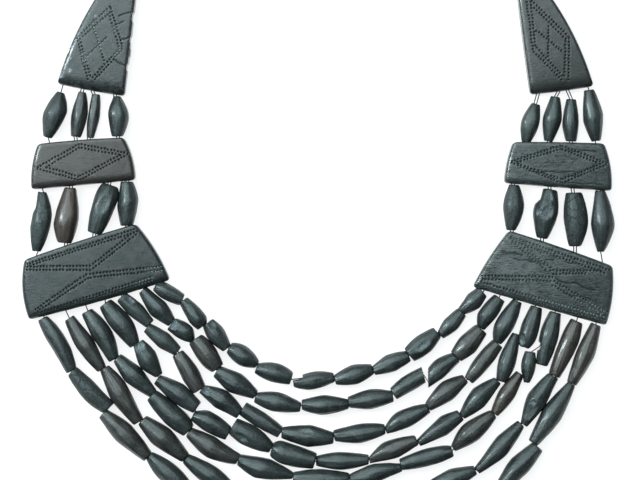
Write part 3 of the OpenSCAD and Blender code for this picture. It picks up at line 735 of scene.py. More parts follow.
def bead_blank():
    """A tube of unit size. Its attribute holds place along, angle round and depth of wall."""
    along = [(1, 0), (0.4, 0), (-0.4, 0), (-1, 0)] + [(-u, t) for u, t in WORN_RIM]
    along += [(u, 1) for u in -WALL_END * np.cos(np.linspace(0, math.pi, WALL_POINTS))]
    along += WORN_RIM[::-1]
    verts, faces, local = [], [], []
    for u, t in along:
        for i in range(AROUND):
            a = 2 * math.pi * i / AROUND
            verts.append((u / 2, (0.2 + 0.3 * t) * math.cos(a), (0.2 + 0.3 * t) * math.sin(a)))
            local.append((u, a, t))
    for k in range(len(along)):
        for i in range(AROUND):
            a, b = k * AROUND, (k + 1) % len(along) * AROUND
            j = (i + 1) % AROUND
            faces.append((a + i, a + j, b + j, b + i))
    mesh = bpy.data.meshes.new("bead_blank")
    mesh.from_pydata(verts, [], faces)
    blank = mesh.attributes.new("blank", "FLOAT_VECTOR", "POINT")
    blank.data.foreach_set("vector", np.array(local).ravel())
    return in_scene("bead_blank", mesh)


BEAD_BLANK = bead_blank()


def bead_tree():
    """Geometry nodes that put a blank at each point and grind it to that bead's own shape."""
    tree, kit, given = new_tree(
        "ground_beads", Blank="Object", Bore_radius="Float", Flatness="Float", Unevenness="Float",
        Finish="Material")

    def fact(name, kind="FLOAT"):
        return kit.add("GeometryNodeInputNamedAttribute", {"Name": name}, "Attribute",
                       data_type=kind)

    blank = kit.add("GeometryNodeObjectInfo", {
        "Object": given["Blank"], "As Instance": False}, "Geometry")
    laid = kit.add("GeometryNodeInstanceOnPoints", {"Points": given["Geometry"], "Instance": blank})
    whole = kit.add("GeometryNodeRealizeInstances", {0: laid})
    u, angle, wall = kit.parts(fact("blank", "FLOAT_VECTOR"))
    middle_x, middle_y, _ = kit.parts(fact("middle", "FLOAT_VECTOR"))
    turn, seed, near_end, far_end = fact("turn"), fact("seed"), fact("near_end"), fact("far_end")
    radius, half = fact("girth") * 0.5, fact("long") * 0.5
    cosine, sine = kit.maths("COSINE", angle), kit.maths("SINE", angle)
    widest = fact("belly") + fact("skew") * cosine
    beyond = kit.maths("GREATER_THAN", u, widest)
    span = 1 + widest * (1 - 2 * beyond)
    taper = kit.maths("POWER", kit.maths("ABSOLUTE", u - widest) / span, fact("swell"))
    belly = 1 - taper * (1 - (near_end + beyond * (far_end - near_end)))
    wander = kit.maths("SINE", angle + (seed * 5 + u * 0.5))
    turns = angle * (FACETS / (2 * math.pi)) + wander * FACET_WANDER
    facet = kit.maths("FRACT", turns + seed) - 0.5
    ground = 1 - (0.67 - 4 * (facet * facet)) * given["Flatness"]
    spot = kit.add("ShaderNodeCombineXYZ", {
        0: u * half * LUMPS_ALONG, 1: cosine * radius * LUMPS_ACROSS,
        2: sine * radius * LUMPS_ACROSS})
    lumps = kit.noise(spot, 1, 3, seed=seed * 9)
    uneven = (lumps - 0.5) * given["Unevenness"]
    outer = radius * (belly * ground) - uneven
    bore = given["Bore radius"]
    reach = bore + wall * (outer - bore)
    x = u * (half + END_EXTRA * MM - uneven)
    y = reach * cosine + fact("bow") * (1 - u * u) * wall
    z = reach * sine + radius
    turn_cosine, turn_sine = kit.maths("COSINE", turn), kit.maths("SINE", turn)
    place = kit.add("ShaderNodeCombineXYZ", {
        0: middle_x + (x * turn_cosine - y * turn_sine),
        1: middle_y + (x * turn_sine + y * turn_cosine), 2: z})
    shaped = kit.add("GeometryNodeSetPosition", {"Geometry": whole, "Position": place})
    smooth = kit.add("GeometryNodeSetShadeSmooth", {"Geometry": shaped})
    painted = kit.add("GeometryNodeSetMaterial", {"Geometry": smooth, "Material": given["Finish"]})
    kit.add("NodeGroupOutput", {0: painted})
    return tree


GROUND_BEADS = bead_tree()

# A bead's row gives both ends and its girth in mm, each end's share of the girth, where its
# belly is from -1 to 1, how far the belly shifts across it, its bow in mm and how full it
# swells. The last two, where given, say how brown its jet is, and how dull and cracked.
BEAD_COLUMNS = ("near_x", "near_y", "far_x", "far_y", "girth", "near_end", "far_end", "belly",
                "skew", "bow", "swell", "brown", "worn")


def bead_facts(rows):
    """The columns of a bead table by name."""
    table = np.array([(*row, 0, 0)[:len(BEAD_COLUMNS)] for row in rows], float)
    return dict(zip(BEAD_COLUMNS, table.T))


def ground_beads(name, rows, first_seed, flatness=0.03, unevenness=0.7):
    """One mesh of all the beads given, each lying on the table from near end to far end."""
    facts = bead_facts(rows)
    near = np.column_stack([facts.pop("near_x"), facts.pop("near_y")])
    far = np.column_stack([facts.pop("far_x"), facts.pop("far_y")])
    run = far - near
    middle = np.column_stack([(near + far) / 2, np.zeros(len(rows))]) * MM
    facts["girth"] = facts["girth"] * MM
    facts["bow"] = facts["bow"] * MM
    mesh = bpy.data.meshes.new(name)
    mesh.from_pydata(middle.tolist(), [], [])
    place = np.arange(len(rows))
    store(mesh, turn=np.arctan2(run[:, 1], run[:, 0]), long=np.linalg.norm(run, axis=1) * MM,
          seed=(first_seed + place) * 0.37, number=place + 1.0, **facts)
    mesh.attributes.new("middle", "FLOAT_VECTOR", "POINT").data.foreach_set(
        "vector", middle.ravel())
    group = in_scene(name, mesh)
    with_nodes(group, GROUND_BEADS, {
        "Blank": BEAD_BLANK, "Bore radius": BORE_R * MM, "Flatness": flatness,
        "Unevenness": unevenness * MM, "Finish": BEAD_FINISH})
    return group


def jet_bead_finish():
    """Jet polished lengthways: near black, some beads browner, with dull pale chips. Painted
    shade darkens the lower flanks and thin ends, and painted highlights lie on some fresh chips.
    """
    finish, jet = new_finish("polished_jet_bead")
    kit = NodeKit(finish.node_tree)
    where = kit.add("ShaderNodeTexCoord", out="Object")
    in_mm = kit.scaled(where, (1000, 1000, 1000))
    brown, worn, chip = kit.read("brown"), kit.read("worn"), kit.read("chip")
    mottle = kit.noise(in_mm, 0.16, 4).stretched(0.35, 0.65, 0, 1)
    lengthways = kit.scaled(kit.read("blank", "Vector"), (1.1, 3.2, 1))
    rub = kit.noise(lengthways, 1.6, 5, seed=kit.read("seed"))
    grit = kit.noise(in_mm, 1.9, 3)
    # Painted highlight: pale glints on the fresh faces of some spalls, where a facet would catch
    # the light.
    painted_chip_highlight = kit.read("gleam") * grit.stretched(0.40, 0.58, 0.3, 1)
    bent = kit.add("ShaderNodeVectorMath", {
        0: kit.noise(in_mm, 0.7, out="Color"), 1: (2.2, 2.2, 2.2), 2: in_mm},
        operation="MULTIPLY_ADD")
    cells = kit.add("ShaderNodeTexVoronoi", {"Scale": 0.2, "Vector": bent}, "Distance",
                    feature="DISTANCE_TO_EDGE")
    split = cells.stretched(0.0, 0.035, 1, 0) * worn.stretched(0.3, 0.9, 0, 1)
    # Painted shade: low on a bead against its girth, the flanks and thin ends get a darker colour
    # and a weaker reflection.
    painted_flank_shade = (kit.parts(where)[2] / kit.read("girth")).stretched(0.50, 0.82, 0.6, 0)
    colour = kit.over(
        kit.over((0.006, 0.008, 0.008), (mottle, (0.026, 0.032, 0.032))),
        (brown, kit.over((0.016, 0.011, 0.008), (mottle, (0.052, 0.037, 0.029)))),
        (rub.stretched(0.5, 0.72, 0, 0.4), (0.045, 0.052, 0.050)),
        (grit.stretched(0.57, 0.67, 0, 0.6), (0.075, 0.085, 0.083)),
        (worn * 0.5, (0.028, 0.033, 0.032)),
        (chip, (0.050, 0.060, 0.059)),
        (painted_chip_highlight, (0.19, 0.24, 0.26)),
        (split, (0.004, 0.005, 0.005)),
        (painted_flank_shade, (0.001, 0.0015, 0.0015)),
    )
    sheen = kit.over((0.86, 1, 1), (brown, (1, 0.93, 0.89)), (painted_flank_shade, (0.05, 0.06, 0.06)))
    wax = kit.maths("MULTIPLY_ADD", worn, -0.24, 0.26, use_clamp=True)
    hackly = kit.add("ShaderNodeTexVoronoi", {"Scale": 0.5, "Vector": bent}, "Distance") * chip
    opened = kit.maths("MULTIPLY_ADD", split, -1.0, kit.noise(in_mm, 0.9, 6, 0.62) + rub)
    torn = kit.maths("MULTIPLY_ADD", hackly, 1.7, opened)
    bump = kit.add("ShaderNodeBump", {"Strength": 0.8, "Distance": 0.22 * MM, "Height": torn})
    kit.fill(jet, {
        "Base Color": colour, "IOR": 1.54, "Specular Tint": sheen, "Normal": bump,
        "Roughness": kit.maths("MULTIPLY_ADD", worn, 0.16, rub.stretched(0.3, 0.7, 0.32, 0.50)),
        "Coat Weight": kit.maths("MULTIPLY_ADD", brown, 0.35, wax), "Coat Roughness": 0.18})
    return finish


BEAD_FINISH = jet_bead_finish()
SPALL_FLOOR, SPALL_STEPS = 0.45, 56  # how near the axis a hollow may go, as a share
RIPPLE, RIPPLES = 0.07, 3.2
BREAK_ROUGH = 0.18


def knock_about(group, rows, breaks=(), spalls=()):
    """Broken ends and shallow spalls, placed by mm along a bead from its middle, across it and
    up from its axis. Each names a bead by its number in the group. A break has an end and how
    far it reaches there. A spall is the middle and size of the hollow, and may end with how
    strong a painted highlight on its fresh face is."""
    mesh = group.data
    co = points_of(mesh)
    number, blank = np.empty(len(co)), np.empty(len(co) * 3)
    mesh.attributes["number"].data.foreach_get("value", number)
    mesh.attributes["blank"].data.foreach_get("vector", blank)
    wall = blank.reshape(-1, 3)[:, 2]
    chip, gleam = np.zeros((2, len(co)))

    def own(which):
        """One bead's points in its own directions, and how to put them back once reshaped."""
        row = rows[which - 1]
        near, far, axis = np.array(row[:2]), np.array(row[2:4]), row[4] / 2
        run = (far - near) / np.linalg.norm(far - near)
        left, middle = np.array([-run[1], run[0]]), (near + far) / 2
        mask = np.abs(number - which) < 0.5
        away = co[mask, :2] - middle
        was = np.column_stack([away @ run, away @ left, co[mask, 2] - axis])

        def put(now):
            co[mask, :2] = middle + now[:, :1] * run + now[:, 1:2] * left
            co[mask, 2] = now[:, 2] + axis
            moved = np.linalg.norm(now - was, axis=1)
            chip[mask] = np.maximum(chip[mask], np.clip(moved * 5, 0, 1))
            return moved

        return mask, was, put

    for which, end, limit in breaks:
        mask, was, put = own(which)
        rough = np.sin(was[:, 1] * 3.1 + which) * np.cos(was[:, 2] * 2.7 + 2 * which)
        edge = limit(was[:, 1]) + BREAK_ROUGH * rough
        now = was.copy()
        now[:, 0] = (np.minimum if end == "far" else np.maximum)(was[:, 0], edge)
        put(now)
    for which, centre, size, *highlight_strength in spalls:
        mask, was, put = own(which)
        now, done = was.copy(), np.zeros(len(was), bool)
        for share in np.linspace(1, SPALL_FLOOR, SPALL_STEPS):
            trial = was.copy()
            trial[:, 1:] *= share
            rings = np.hypot(trial[:, 0] - centre[0] + size[0] / 2, trial[:, 1] - centre[1])
            ripple = 1 + RIPPLE * np.sin(rings * RIPPLES)
            hollow = (((trial - centre) / size) ** 2).sum(1) * ripple < 1
            fresh = ~(hollow & (wall[mask] > 0.3)) & ~done
            now[fresh] = trial[fresh]
            done |= fresh
        now[~done, 1:] = was[~done, 1:] * SPALL_FLOOR
        moved = put(now)
        # Painted highlight: a chosen spall's fresh face is marked for a pale glint in the finish.
        gleam[mask] = np.maximum(gleam[mask], np.clip(moved * 4, 0, 1) * sum(highlight_strength))
    co[:, 2] = np.maximum(co[:, 2], 0)
    mesh.vertices.foreach_set("co", (co * MM).ravel())
    store(mesh, chip=chip, gleam=gleam)
    mesh.update()


def side_beads(prefix, rows, first_seed, breaks=(), spalls=()):
    """Four beads between two plates, each standing for a part of its own."""
    for i, row in enumerate(rows):
        name = f"{prefix}_{i + 1}"
        group = ground_beads(name + "_ground", [row], first_seed + i)
        knock_about(group, [row],
                    [(1, *b[1:]) for b in breaks if b[0] == i + 1],
                    [(1, *s[1:]) for s in spalls if s[0] == i + 1])
        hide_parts(name)
        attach(group, "root")


side_beads("left_upper_bead", [
    (-102.9, 32.9, -108.1, 15.1, 9.1, 0.32, 0.39, -0.11, -0.14, 0.24, 1.5, 0, 0.4),
    (-94.4, 33.1, -96.9, 15.4, 6.4, 0.5, 0.6, 0.03, -0.1, 0.2, 1.8, 0.2),
    (-89, 32.3, -91.2, 15, 4.8, 0.7, 0.6, -0.1, -0.1, 0.3, 1.8, 0.15),
    (-80.4, 31.4, -80.2, 15.5, 8.4, 0.3, 0.55, -0.03, 0.05, 0.45, 1.7),
], 3)


# ---- Side beads between the lower plates, left ----
# Four fatter beads of jet. The outermost has lost a chunk of its upper corner, the second
# is browner, and a rippled flake has come off the third.
side_beads("left_lower_bead", [
    (-110.4, -6.9, -112.6, -30.4, 8.3, 0.45, 0.42, 0, -0.2, 0.8, 1.6, 0, 0.65),
    (-99, -5.2, -101.3, -27.1, 10, 0.48, 0.55, 0.2, -0.14, -0.19, 1.5, 0.95),
    (-83, -4.1, -89.4, -23.3, 9.3, 0.66, 0.6, -0.45, -0.15, 0.04, 2.1, 0, 0.5),
    (-76.5, -2.8, -76.5, -20.2, 8.5, 0.61, 0.59, -0.03, -0.16, 0.48, 1.4),
], 11, breaks=[
    (1, "near", lambda across: np.where(across < -1.6, -5.6 - 2 * (across + 1.6), -99)),
], spalls=[
    (3, (-2.0, 0.8, 5.2), (5.4, 3.0, 1.6), 0.14),
])


# ---- Side beads between the upper plates, right ----
# Four slender beads of the same make, ground and drilled from both ends, one of them
# nearly cylindrical.
side_beads("right_upper_bead", [
    (87.2, 28.3, 83.2, 13.1, 7.4, 0.47, 0.46, -0.04, -0.02, -0.33, 1.7),
    (95, 31.2, 92.1, 13.6, 7.7, 0.48, 0.45, -0.01, -0.02, 0.23, 1.4),
    (101.4, 30.2, 101.2, 13.6, 6.7, 0.58, 0.63, 0.13, -0.06, -0.17, 1.6),
    (108.4, 33.9, 111.2, 13.7, 8.3, 0.5, 0.43, 0.08, -0.09, 0.13, 1.3),
], 21)


# ---- Side beads between the lower plates, right ----
# Four large beads of jet, dull and worn. The second has lost a corner and a flake, and
# the third is chipped.
side_beads("right_lower_bead", [
    (78.4, -4, 77.2, -22, 8.5, 0.46, 0.45, -0.04, 0, 0.43, 1.6, 0, 0.6),
    (92.9, -5.9, 89.6, -25.2, 10.1, 0.56, 0.42, -0.1, 0, -0.3, 1.5, 0, 0.3),
    (102.3, -7.2, 102.7, -28.4, 9.9, 0.66, 0.5, -0.04, 0.09, 0.53, 1.8, 0, 0.8),
    (112.8, -6.4, 112.9, -30.6, 9.4, 0.42, 0.3, 0.1, 0.02, 0.9, 1.5, 0, 0.3),
], 31, breaks=[
    (2, "near", lambda across: np.where(across < -3.0, -5.6 - 1.2 * (across + 3), -99)),
], spalls=[
    (2, (-0.6, 0.5, 5.7), (3.9, 3.9, 2.0), 0.2),
    (2, (-7.7, 0.3, 4.9), (3.1, 2.4, 1.7), 0.2),
    (2, (-0.3, -3.5, 3.1), (1.7, 0.6, 1.3), 0.9),
    (3, (-9.6, 3.4, 3.0), (1.8, 1.6, 2.4)),
    (3, (-5.0, 3.6, 4.4), (2.2, 1.3, 1.8)),
])


# ---- First strand ----
# The innermost and shortest strand, of the smallest jet beads, drilled lengthways. The
# sixth has lost the upper side of one end, so that its thread lies bare there.
def strand(number, rows, first_seed, breaks=(), spalls=()):
    """The beads of one strand, as one piece."""
    group = ground_beads(f"strand_{number}_beads", rows, first_seed)
    knock_about(group, rows, breaks, spalls)
    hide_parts(f"strand_{number}")
    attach(group, "root")


strand(1, [
    (-65.2, -44.6, -54.4, -49.9, 6.6, 0.54, 0.73, -0.22, -0.18, 0.14, 1.9),
    (-53.9, -50.2, -46.3, -60.6, 7, 0.58, 0.63, 0.43, 0.17, 0.37, 1.6),
    (-44, -59.1, -36.5, -69.4, 7.5, 0.66, 0.55, -0.2, 0.01, -0.12, 1.5, 0, 0.4),
    (-35.5, -69.1, -24.4, -75.8, 7.9, 0.58, 0.42, -0.11, -0.12, 0.04, 2),
    (-24.7, -77.3, -10.7, -81.4, 8, 0.52, 0.63, 0.09, 0.07, 0.47, 1.7),
    (-9.8, -83, 6.3, -81, 7.2, 0.49, 0.55, -0.03, 0.19, -0.19, 1.7),
    (6.8, -82.1, 21.8, -77.6, 8.1, 0.48, 0.47, 0.04, -0.02, -0.12, 1.5),
    (22.3, -78.3, 36.3, -72.4, 7.5, 0.5, 0.61, 0.01, -0.04, 0.09, 1.4),
    (36.5, -71.9, 47.6, -62.9, 8.4, 0.76, 0.56, -0.11, -0.08, -0.16, 1.8, 0, 0.45),
    (49, -64.2, 57.5, -54.9, 6.5, 0.51, 0.74, -0.03, -0.04, -0.1, 1.5),
    (57.2, -54.6, 65.8, -46.7, 7.2, 0.47, 0.74, 0.13, 0.03, -0.36, 1.3),
], 41, breaks=[
    (6, "near", lambda across: np.where(across > 0.8, -4.1, -99)),
], spalls=[
    (3, (-5.6, 1.4, 3.2), (2.4, 2.2, 1.8)),
    (9, (-0.4, -0.6, 5.2), (5.6, 2.4, 2.0), 0.4),
])


# ---- Second strand ----
# Jet beads drilled lengthways, two of them browner. Side by side on the right, one bead
# is broken nearly straight across, and the facing end of the next is oblique.
strand(2, [
    (-70.1, -46.1, -58.5, -59.1, 8, 0.49, 0.52, 0.11, 0.02, -0.26, 1.3),
    (-58.6, -59.6, -50.1, -66.3, 7.4, 0.79, 0.3, 0.05, 0.22, 0.63, 1.9),
    (-49, -65.6, -40.1, -77.3, 8.6, 0.74, 0.65, -0.07, -0.12, 0.07, 1.9, 0.4),
    (-40.5, -78.5, -25, -87.9, 8.7, 0.58, 0.43, -0.03, 0.02, -0.11, 1.4),
    (-25, -88.9, -7, -92.9, 8.1, 0.5, 0.47, -0.08, 0.03, -0.03, 1.5),
    (-6.4, -91.9, 12.1, -91.6, 8, 0.5, 0.49, -0.07, 0.07, -0.27, 1.5),
    (12.2, -90.9, 29.9, -88.4, 8, 0.55, 0.56, -0.02, 0.06, 0.04, 1.4),
    (30.2, -87.5, 43.4, -79.2, 7, 0.75, 0.86, 0.06, -0.11, 0.29, 1.6),
    (42.4, -84, 55.2, -72.9, 7.6, 0.5, 0.63, 0.01, 0.05, 0.77, 1.6),
    (55.2, -72.6, 65.4, -61.7, 8.6, 0.65, 0.65, -0.11, -0.01, -0.06, 1.5, 0.4),
    (65.2, -61.2, 72.7, -49.3, 7.4, 0.47, 0.67, -0.14, -0.22, 0.65, 1.6),
], 61, breaks=[
    (8, "far", lambda across: 5.1 + (across + 4.2) * 0.306),
    (9, "near", lambda across: -7.9 + (across + 2.0) * 0.869),
], spalls=[
    (2, (-4.4, 0.4, 2.9), (1.7, 1.8, 1.4), 1.0),
])


# ---- Third strand ----
# Longer beads than those above, of the same jet. Three are browner, and three have lost
# small flakes.
strand(3, [
    (-78.7, -48.8, -67.3, -59.6, 6.8, 0.72, 0.63, -0.07, 0.14, 0.11, 1.4, 0, 0.6),
    (-68.4, -61.1, -56.1, -70.6, 7, 0.63, 0.62, 0.1, -0.02, 0.08, 1.3, 0, 0.5),
    (-56.1, -71.3, -47.4, -85.9, 7.6, 0.64, 0.76, 0.15, -0.11, 0.02, 1.6, 0.4),
    (-46.4, -85.6, -31.4, -95.4, 8.3, 0.46, 0.57, -0.02, 0.03, 0.79, 1.3),
    (-30.1, -93.5, -15, -103.1, 6.6, 0.89, 0.72, -0.1, 0.01, 0.09, 1.5),
    (-14.4, -103, 6.2, -105.2, 9, 0.48, 0.5, 0.04, 0, -0.18, 1.3),
    (6.5, -104.4, 26.7, -101.7, 7.9, 0.57, 0.51, 0.08, 0.05, -0.23, 1.6),
    (27.2, -102.3, 44.1, -93.3, 7.7, 0.36, 0.53, -0.1, -0.09, 0.69, 1.7),
    (44, -92.7, 58.9, -81.6, 8.3, 0.48, 0.47, 0.06, 0.04, 0.5, 1.5, 0.3, 0.3),
    (60.3, -82.1, 71.9, -67.4, 6.8, 0.59, 0.79, -0.05, -0.04, 0.16, 2, 0.4),
    (71.6, -66.9, 79.8, -50.5, 7.9, 0.45, 0.48, -0.2, -0.12, 0.39, 1.6),
], 81, spalls=[
    (1, (-5.2, 2.2, 2.8), (2.8, 1.8, 1.8), 0.7),
    (4, (-7.4, 0.6, 2.6), (2.0, 1.6, 1.5), 0.8),
    (6, (-1.5, 2.2, 4.0), (3.6, 1.8, 1.0)),
])


# ---- Fourth strand ----
# Jet beads, one of them browner. At its right end two lie side by side, and the thread
# enters the last one where its lower side is broken open.
strand(4, [
    (-85.1, -51.4, -73.3, -67.9, 8.8, 0.65, 0.51, -0.07, 0.13, 0.6, 1.8),
    (-71.9, -67.2, -63.6, -80.1, 8.7, 0.55, 0.38, -0.03, -0.15, -0.21, 1.4, 0, 0.5),
    (-64.3, -81.8, -48.4, -93, 8.4, 0.51, 0.65, 0.05, -0.05, 0.33, 1.3),
    (-50, -96.2, -35.8, -103.3, 8.3, 0.48, 0.71, -0.13, -0.22, 0.52, 1.8),
    (-34, -100.3, -18.8, -109.3, 9.1, 0.76, 0.43, -0.14, 0.13, -0.1, 1.7, 0, 0.6),
    (-18.5, -109.7, -1.2, -114.3, 9.2, 0.59, 0.71, -0.47, -0.13, -0.15, 1.9),
    (-0.7, -114.3, 20.2, -113.9, 7.4, 0.56, 0.53, -0.09, -0.04, -0.23, 1.5),
    (20.6, -114.2, 39.4, -106, 7.9, 0.3, 0.55, -0.07, -0.14, 0.49, 1.4, 0.4),
    (40.3, -107.2, 56.9, -96, 7.7, 0.36, 0.61, 0.2, 0.09, 0.09, 1.3),
    (57.6, -96.5, 71.8, -82.3, 8.5, 0.37, 0.44, -0.01, 0.1, 0.5, 1.3),
    (73.2, -82.5, 79.2, -63.6, 7.1, 0.55, 0.42, -0.2, 0, 0, 1.6),
    (82.5, -68.9, 87.4, -52.8, 7.4, 0.5, 0.62, -0.35, 0, 0, 2.4),
], 101, spalls=[
    (2, (-6.6, -0.2, 3.2), (2.4, 2.6, 2.2), 1.0),
    (12, (-6.2, 2.4, 2.6), (2.2, 1.8, 1.8), 0.8),
    (5, (-3.4, -2.6, 3.6), (3.0, 1.8, 1.4)),
])


# ---- Fifth strand ----
# Jet beads, three of them browner. Near its right end only a broken piece is left of one,
# and the thread enters the last bead through a notch in its side.
strand(5, [
    (-92.5, -54.6, -81.6, -73.7, 8.1, 0.58, 0.58, -0.07, 0.05, 0.86, 1.7),
    (-80.3, -73.2, -65.8, -87.5, 8.4, 0.5, 0.47, -0.11, 0.04, -0.28, 1.3),
    (-66.4, -88.1, -51.8, -102.3, 8.9, 0.62, 0.67, 0.31, 0.21, 0.11, 1.6),
    (-51.7, -102.8, -31.9, -113.7, 8.9, 0.49, 0.52, -0.04, -0.05, -0.87, 1.3, 0.35),
    (-31.7, -113.8, -10.1, -120.2, 9.2, 0.51, 0.31, -0.11, 0.16, -0.67, 1.3),
    (-9.9, -121.2, 12.3, -121.6, 8.6, 0.58, 0.58, 0, -0.06, -0.36, 1.5),
    (12.7, -121.7, 33.2, -117, 7.7, 0.5, 0.43, -0.14, 0.15, 0.12, 1.4),
    (33.1, -115.9, 53.7, -110.5, 7.3, 0.64, 0.63, 0.1, 0.07, 0.19, 1.8),
    (54.1, -109.3, 70.1, -95.5, 8.8, 0.31, 0.45, -0.08, -0.05, 0.31, 1.6, 0.35),
    (70.6, -95.5, 80.8, -79.4, 6.9, 0.5, 0.5, 0, 0, 0, 1.5, 0.8),
    (83.5, -83, 84.9, -70.8, 6, 0.35, 0.72, 0.2, 0, 0, 1.9, 0, 0.3),
    (89.5, -76, 94.9, -55, 7.5, 0.62, 0.64, 0.15, 0, 0, 1.8),
], 121, spalls=[
    (11, (-3.8, 2.4, 1.8), (2.6, 1.8, 2.6)),
    (12, (-3.9, 3.5, 0.0), (1.7, 1.4, 5.0)),
])


# ---- Sixth strand ----
# Long barrels of jet, evenly sized all the way round. The first three and the last are
# browner, and the eleventh has lost a flake at its lower end.
strand(6, [
    (-99.4, -57.3, -86.3, -77.6, 7.7, 0.55, 0.54, -0.01, 0.02, -0.36, 1.4, 0.35),
    (-85.3, -77.2, -71.7, -98.7, 8.8, 0.5, 0.54, -0.14, -0.12, -0.33, 1.3, 0.4),
    (-70.2, -98, -53, -113.1, 9.4, 0.53, 0.48, -0.1, 0.05, 0.1, 1.3, 0.3),
    (-53, -113.3, -35.8, -124.5, 8.1, 0.51, 0.61, 0.12, 0.1, -0.09, 1.5),
    (-35.5, -124.7, -15.9, -131, 8.3, 0.56, 0.43, 0.02, -0.07, 0.3, 1.3),
    (-15.7, -131, 4.4, -132.8, 8.6, 0.56, 0.59, -0.08, 0.12, 0.3, 1.3),
    (4.6, -132.8, 24.4, -130.8, 7.9, 0.56, 0.42, 0, -0.02, -0.24, 1.4),
    (24.6, -130.7, 42.8, -125.4, 8.1, 0.58, 0.48, -0.11, 0.06, -0.04, 1.6),
    (43, -125.5, 62.9, -118.1, 8.1, 0.47, 0.48, 0.09, 0, 0.01, 1.4),
    (63.6, -118.3, 81.2, -99.6, 7.8, 0.39, 0.5, 0.07, 0.13, -0.4, 1.3),
    (82.3, -99.9, 94, -80.4, 8.3, 0.37, 0.57, -0.01, 0.04, 0.7, 1.3),
    (94.4, -80.3, 103.5, -58.5, 7.7, 0.64, 0.68, 0.3, 0, -0.3, 1.7, 0.7),
], 141, spalls=[
    (11, (-7.4, 0.4, 3.9), (5.2, 5.2, 2.0)),
    (11, (-8.2, 2.8, 3.0), (2.2, 1.6, 2.2)),
    (11, (-2.9, 1.4, 3.7), (1.5, 0.9, 1.0), 0.9),
])


# ---- Seventh strand ----
# The outermost and longest strand, with the largest beads. The second is dull and
# cracked, and the third and the last are of browner jet.
strand(7, [
    (-110.1, -57.4, -98.6, -78.3, 7, 0.61, 0.68, -0.17, 0.07, 0.79, 2),
    (-98.2, -78.5, -83.7, -93.2, 7.8, 0.64, 0.77, 0.07, -0.2, -0.74, 1.5, 0, 0.8),
    (-85.9, -95.4, -68, -112.7, 8.9, 0.53, 0.53, -0.08, -0.01, 0.19, 1.3, 0.3),
    (-67.4, -112.1, -51, -126.9, 8.6, 0.42, 0.61, -0.12, 0.1, -0.11, 1.7),
    (-50.8, -127.4, -31.1, -136.4, 8.6, 0.5, 0.61, 0.02, -0.08, 0.19, 1.6),
    (-30.9, -136.5, -10.3, -141.5, 8.3, 0.56, 0.51, -0.08, 0.04, -0.31, 1.6),
    (-10.1, -141.5, 11.4, -142, 8.6, 0.55, 0.5, 0.09, -0.09, -0.09, 1.6),
    (11.6, -141.9, 32.2, -139.2, 8.3, 0.5, 0.56, 0.03, 0.13, 0.39, 1.6),
    (32.4, -139, 52.5, -133, 8.1, 0.58, 0.45, 0.06, 0.1, -0.08, 1.5),
    (52.5, -133, 71.8, -126.3, 8.3, 0.52, 0.61, -0.05, -0.03, -0.4, 1.5),
    (72.5, -126, 87.8, -108.7, 8.6, 0.55, 0.61, 0.13, -0.05, 0.39, 1.4),
    (86, -107.1, 101.4, -83.6, 8.4, 0.51, 0.41, -0.01, 0.02, -0.06, 1.4),
    (101.4, -83.4, 111.2, -59.9, 7.6, 0.52, 0.55, 0.05, 0, -0.5, 1.5, 0.6),
], 161)


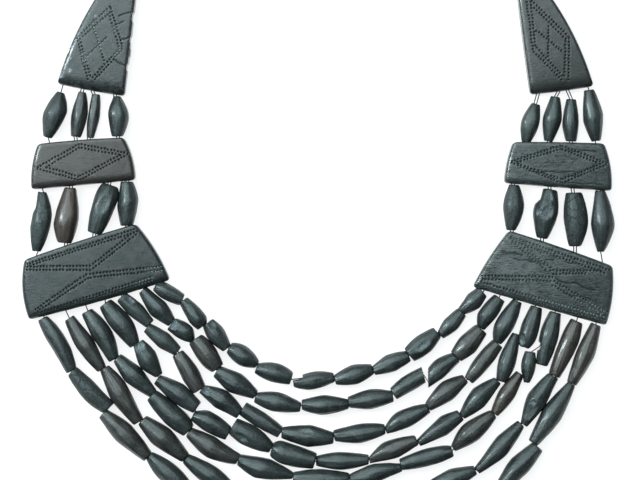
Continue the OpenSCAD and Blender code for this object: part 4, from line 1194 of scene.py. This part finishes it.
# ---- Back string and clasp ----
# Behind the neck the loop is closed by plain jet beads on one thread, with a plain drilled
# barrel in the middle that stands for the clasp.
BACK_RISE = 57.2
BACK_GAP = 0.9
CLASP_L, CLASP_GIRTH = 15, 7
BACK_BEADS = [(17.5, 7.2), (19.5, 7.8), (18, 7.4), (19, 7.6), (17, 7)]  # length and girth
BACK_BEAD_SHAPE = (0.52, 0.5, 0.05, 0.08, 0.1, 1.6)
CLASP_SHAPE = (0.93, 0.93, 0, 0, 0, 9)
left_tip, right_tip = np.array(LEFT_TERMINAL_TIP), np.array(RIGHT_TERMINAL_TIP)
chord = np.linalg.norm(right_tip - left_tip)
back_r = (chord ** 2 / 4 + BACK_RISE ** 2) / (2 * BACK_RISE)
tilt = math.atan2(*(right_tip - left_tip)[::-1])
back_way = np.array([-math.sin(tilt), math.cos(tilt)])
arc_middle = (left_tip + right_tip) / 2 - (back_r - BACK_RISE) * back_way
half_arc = back_r * math.acos((back_r - BACK_RISE) / back_r)
fill = ((half_arc - CLASP_L / 2 - (len(BACK_BEADS) + 1) * BACK_GAP)
        / sum(length for length, girth in BACK_BEADS))


def on_arc(s):
    """The point of the back string at s mm from the clasp's middle."""
    a = math.pi / 2 + tilt - s / back_r
    return arc_middle + back_r * np.array([math.cos(a), math.sin(a)])


back_rows = []
for side in (-1, 1):
    start = CLASP_L / 2 + BACK_GAP
    for length, girth in BACK_BEADS:
        ends = (*on_arc(side * start), *on_arc(side * (start + length * fill)))
        back_rows.append((*ends, girth, *BACK_BEAD_SHAPE))
        start += length * fill + BACK_GAP
back = ground_beads("back_string_beads", back_rows, 201)
knock_about(back, back_rows)
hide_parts("back_string")
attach(back, "root")

barrel_rows = [(*on_arc(-CLASP_L / 2), *on_arc(CLASP_L / 2), CLASP_GIRTH, *CLASP_SHAPE)]
barrel = ground_beads("clasp_barrel", barrel_rows, 231, flatness=0.01, unevenness=0.1)
knock_about(barrel, barrel_rows)
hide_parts("clasp")
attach(barrel, "root")
bpy.data.objects.remove(BEAD_BLANK)


# ---- Threads ----
# Dark grey twisted thread. It shows only where it crosses from bead to bead and from bead to
# plate, so the modelled threads stay as they are and get a finish.
thread_finish, fibre = new_finish("dark_grey_thread")
kit = NodeKit(thread_finish.node_tree)
twist = kit.add("ShaderNodeTexWave", {
    "Scale": 900, "Distortion": 2, "Vector": kit.add("ShaderNodeTexCoord", out="Object")}, "Fac",
    bands_direction="DIAGONAL")
shades = kit.add("ShaderNodeValToRGB", {"Fac": twist})
ramp = shades.socket.node.color_ramp.elements
ramp[0].color = (0.010, 0.012, 0.012, 1)
ramp[1].color = (0.045, 0.048, 0.048, 1)
bump = kit.add("ShaderNodeBump", {"Distance": 0.05 * MM, "Height": twist})
kit.fill(fibre, {"Base Color": shades, "Roughness": 0.85, "Normal": bump})
for name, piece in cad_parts.items():
    if "thread" in name:
        for slot in piece.material_slots:
            slot.material = thread_finish
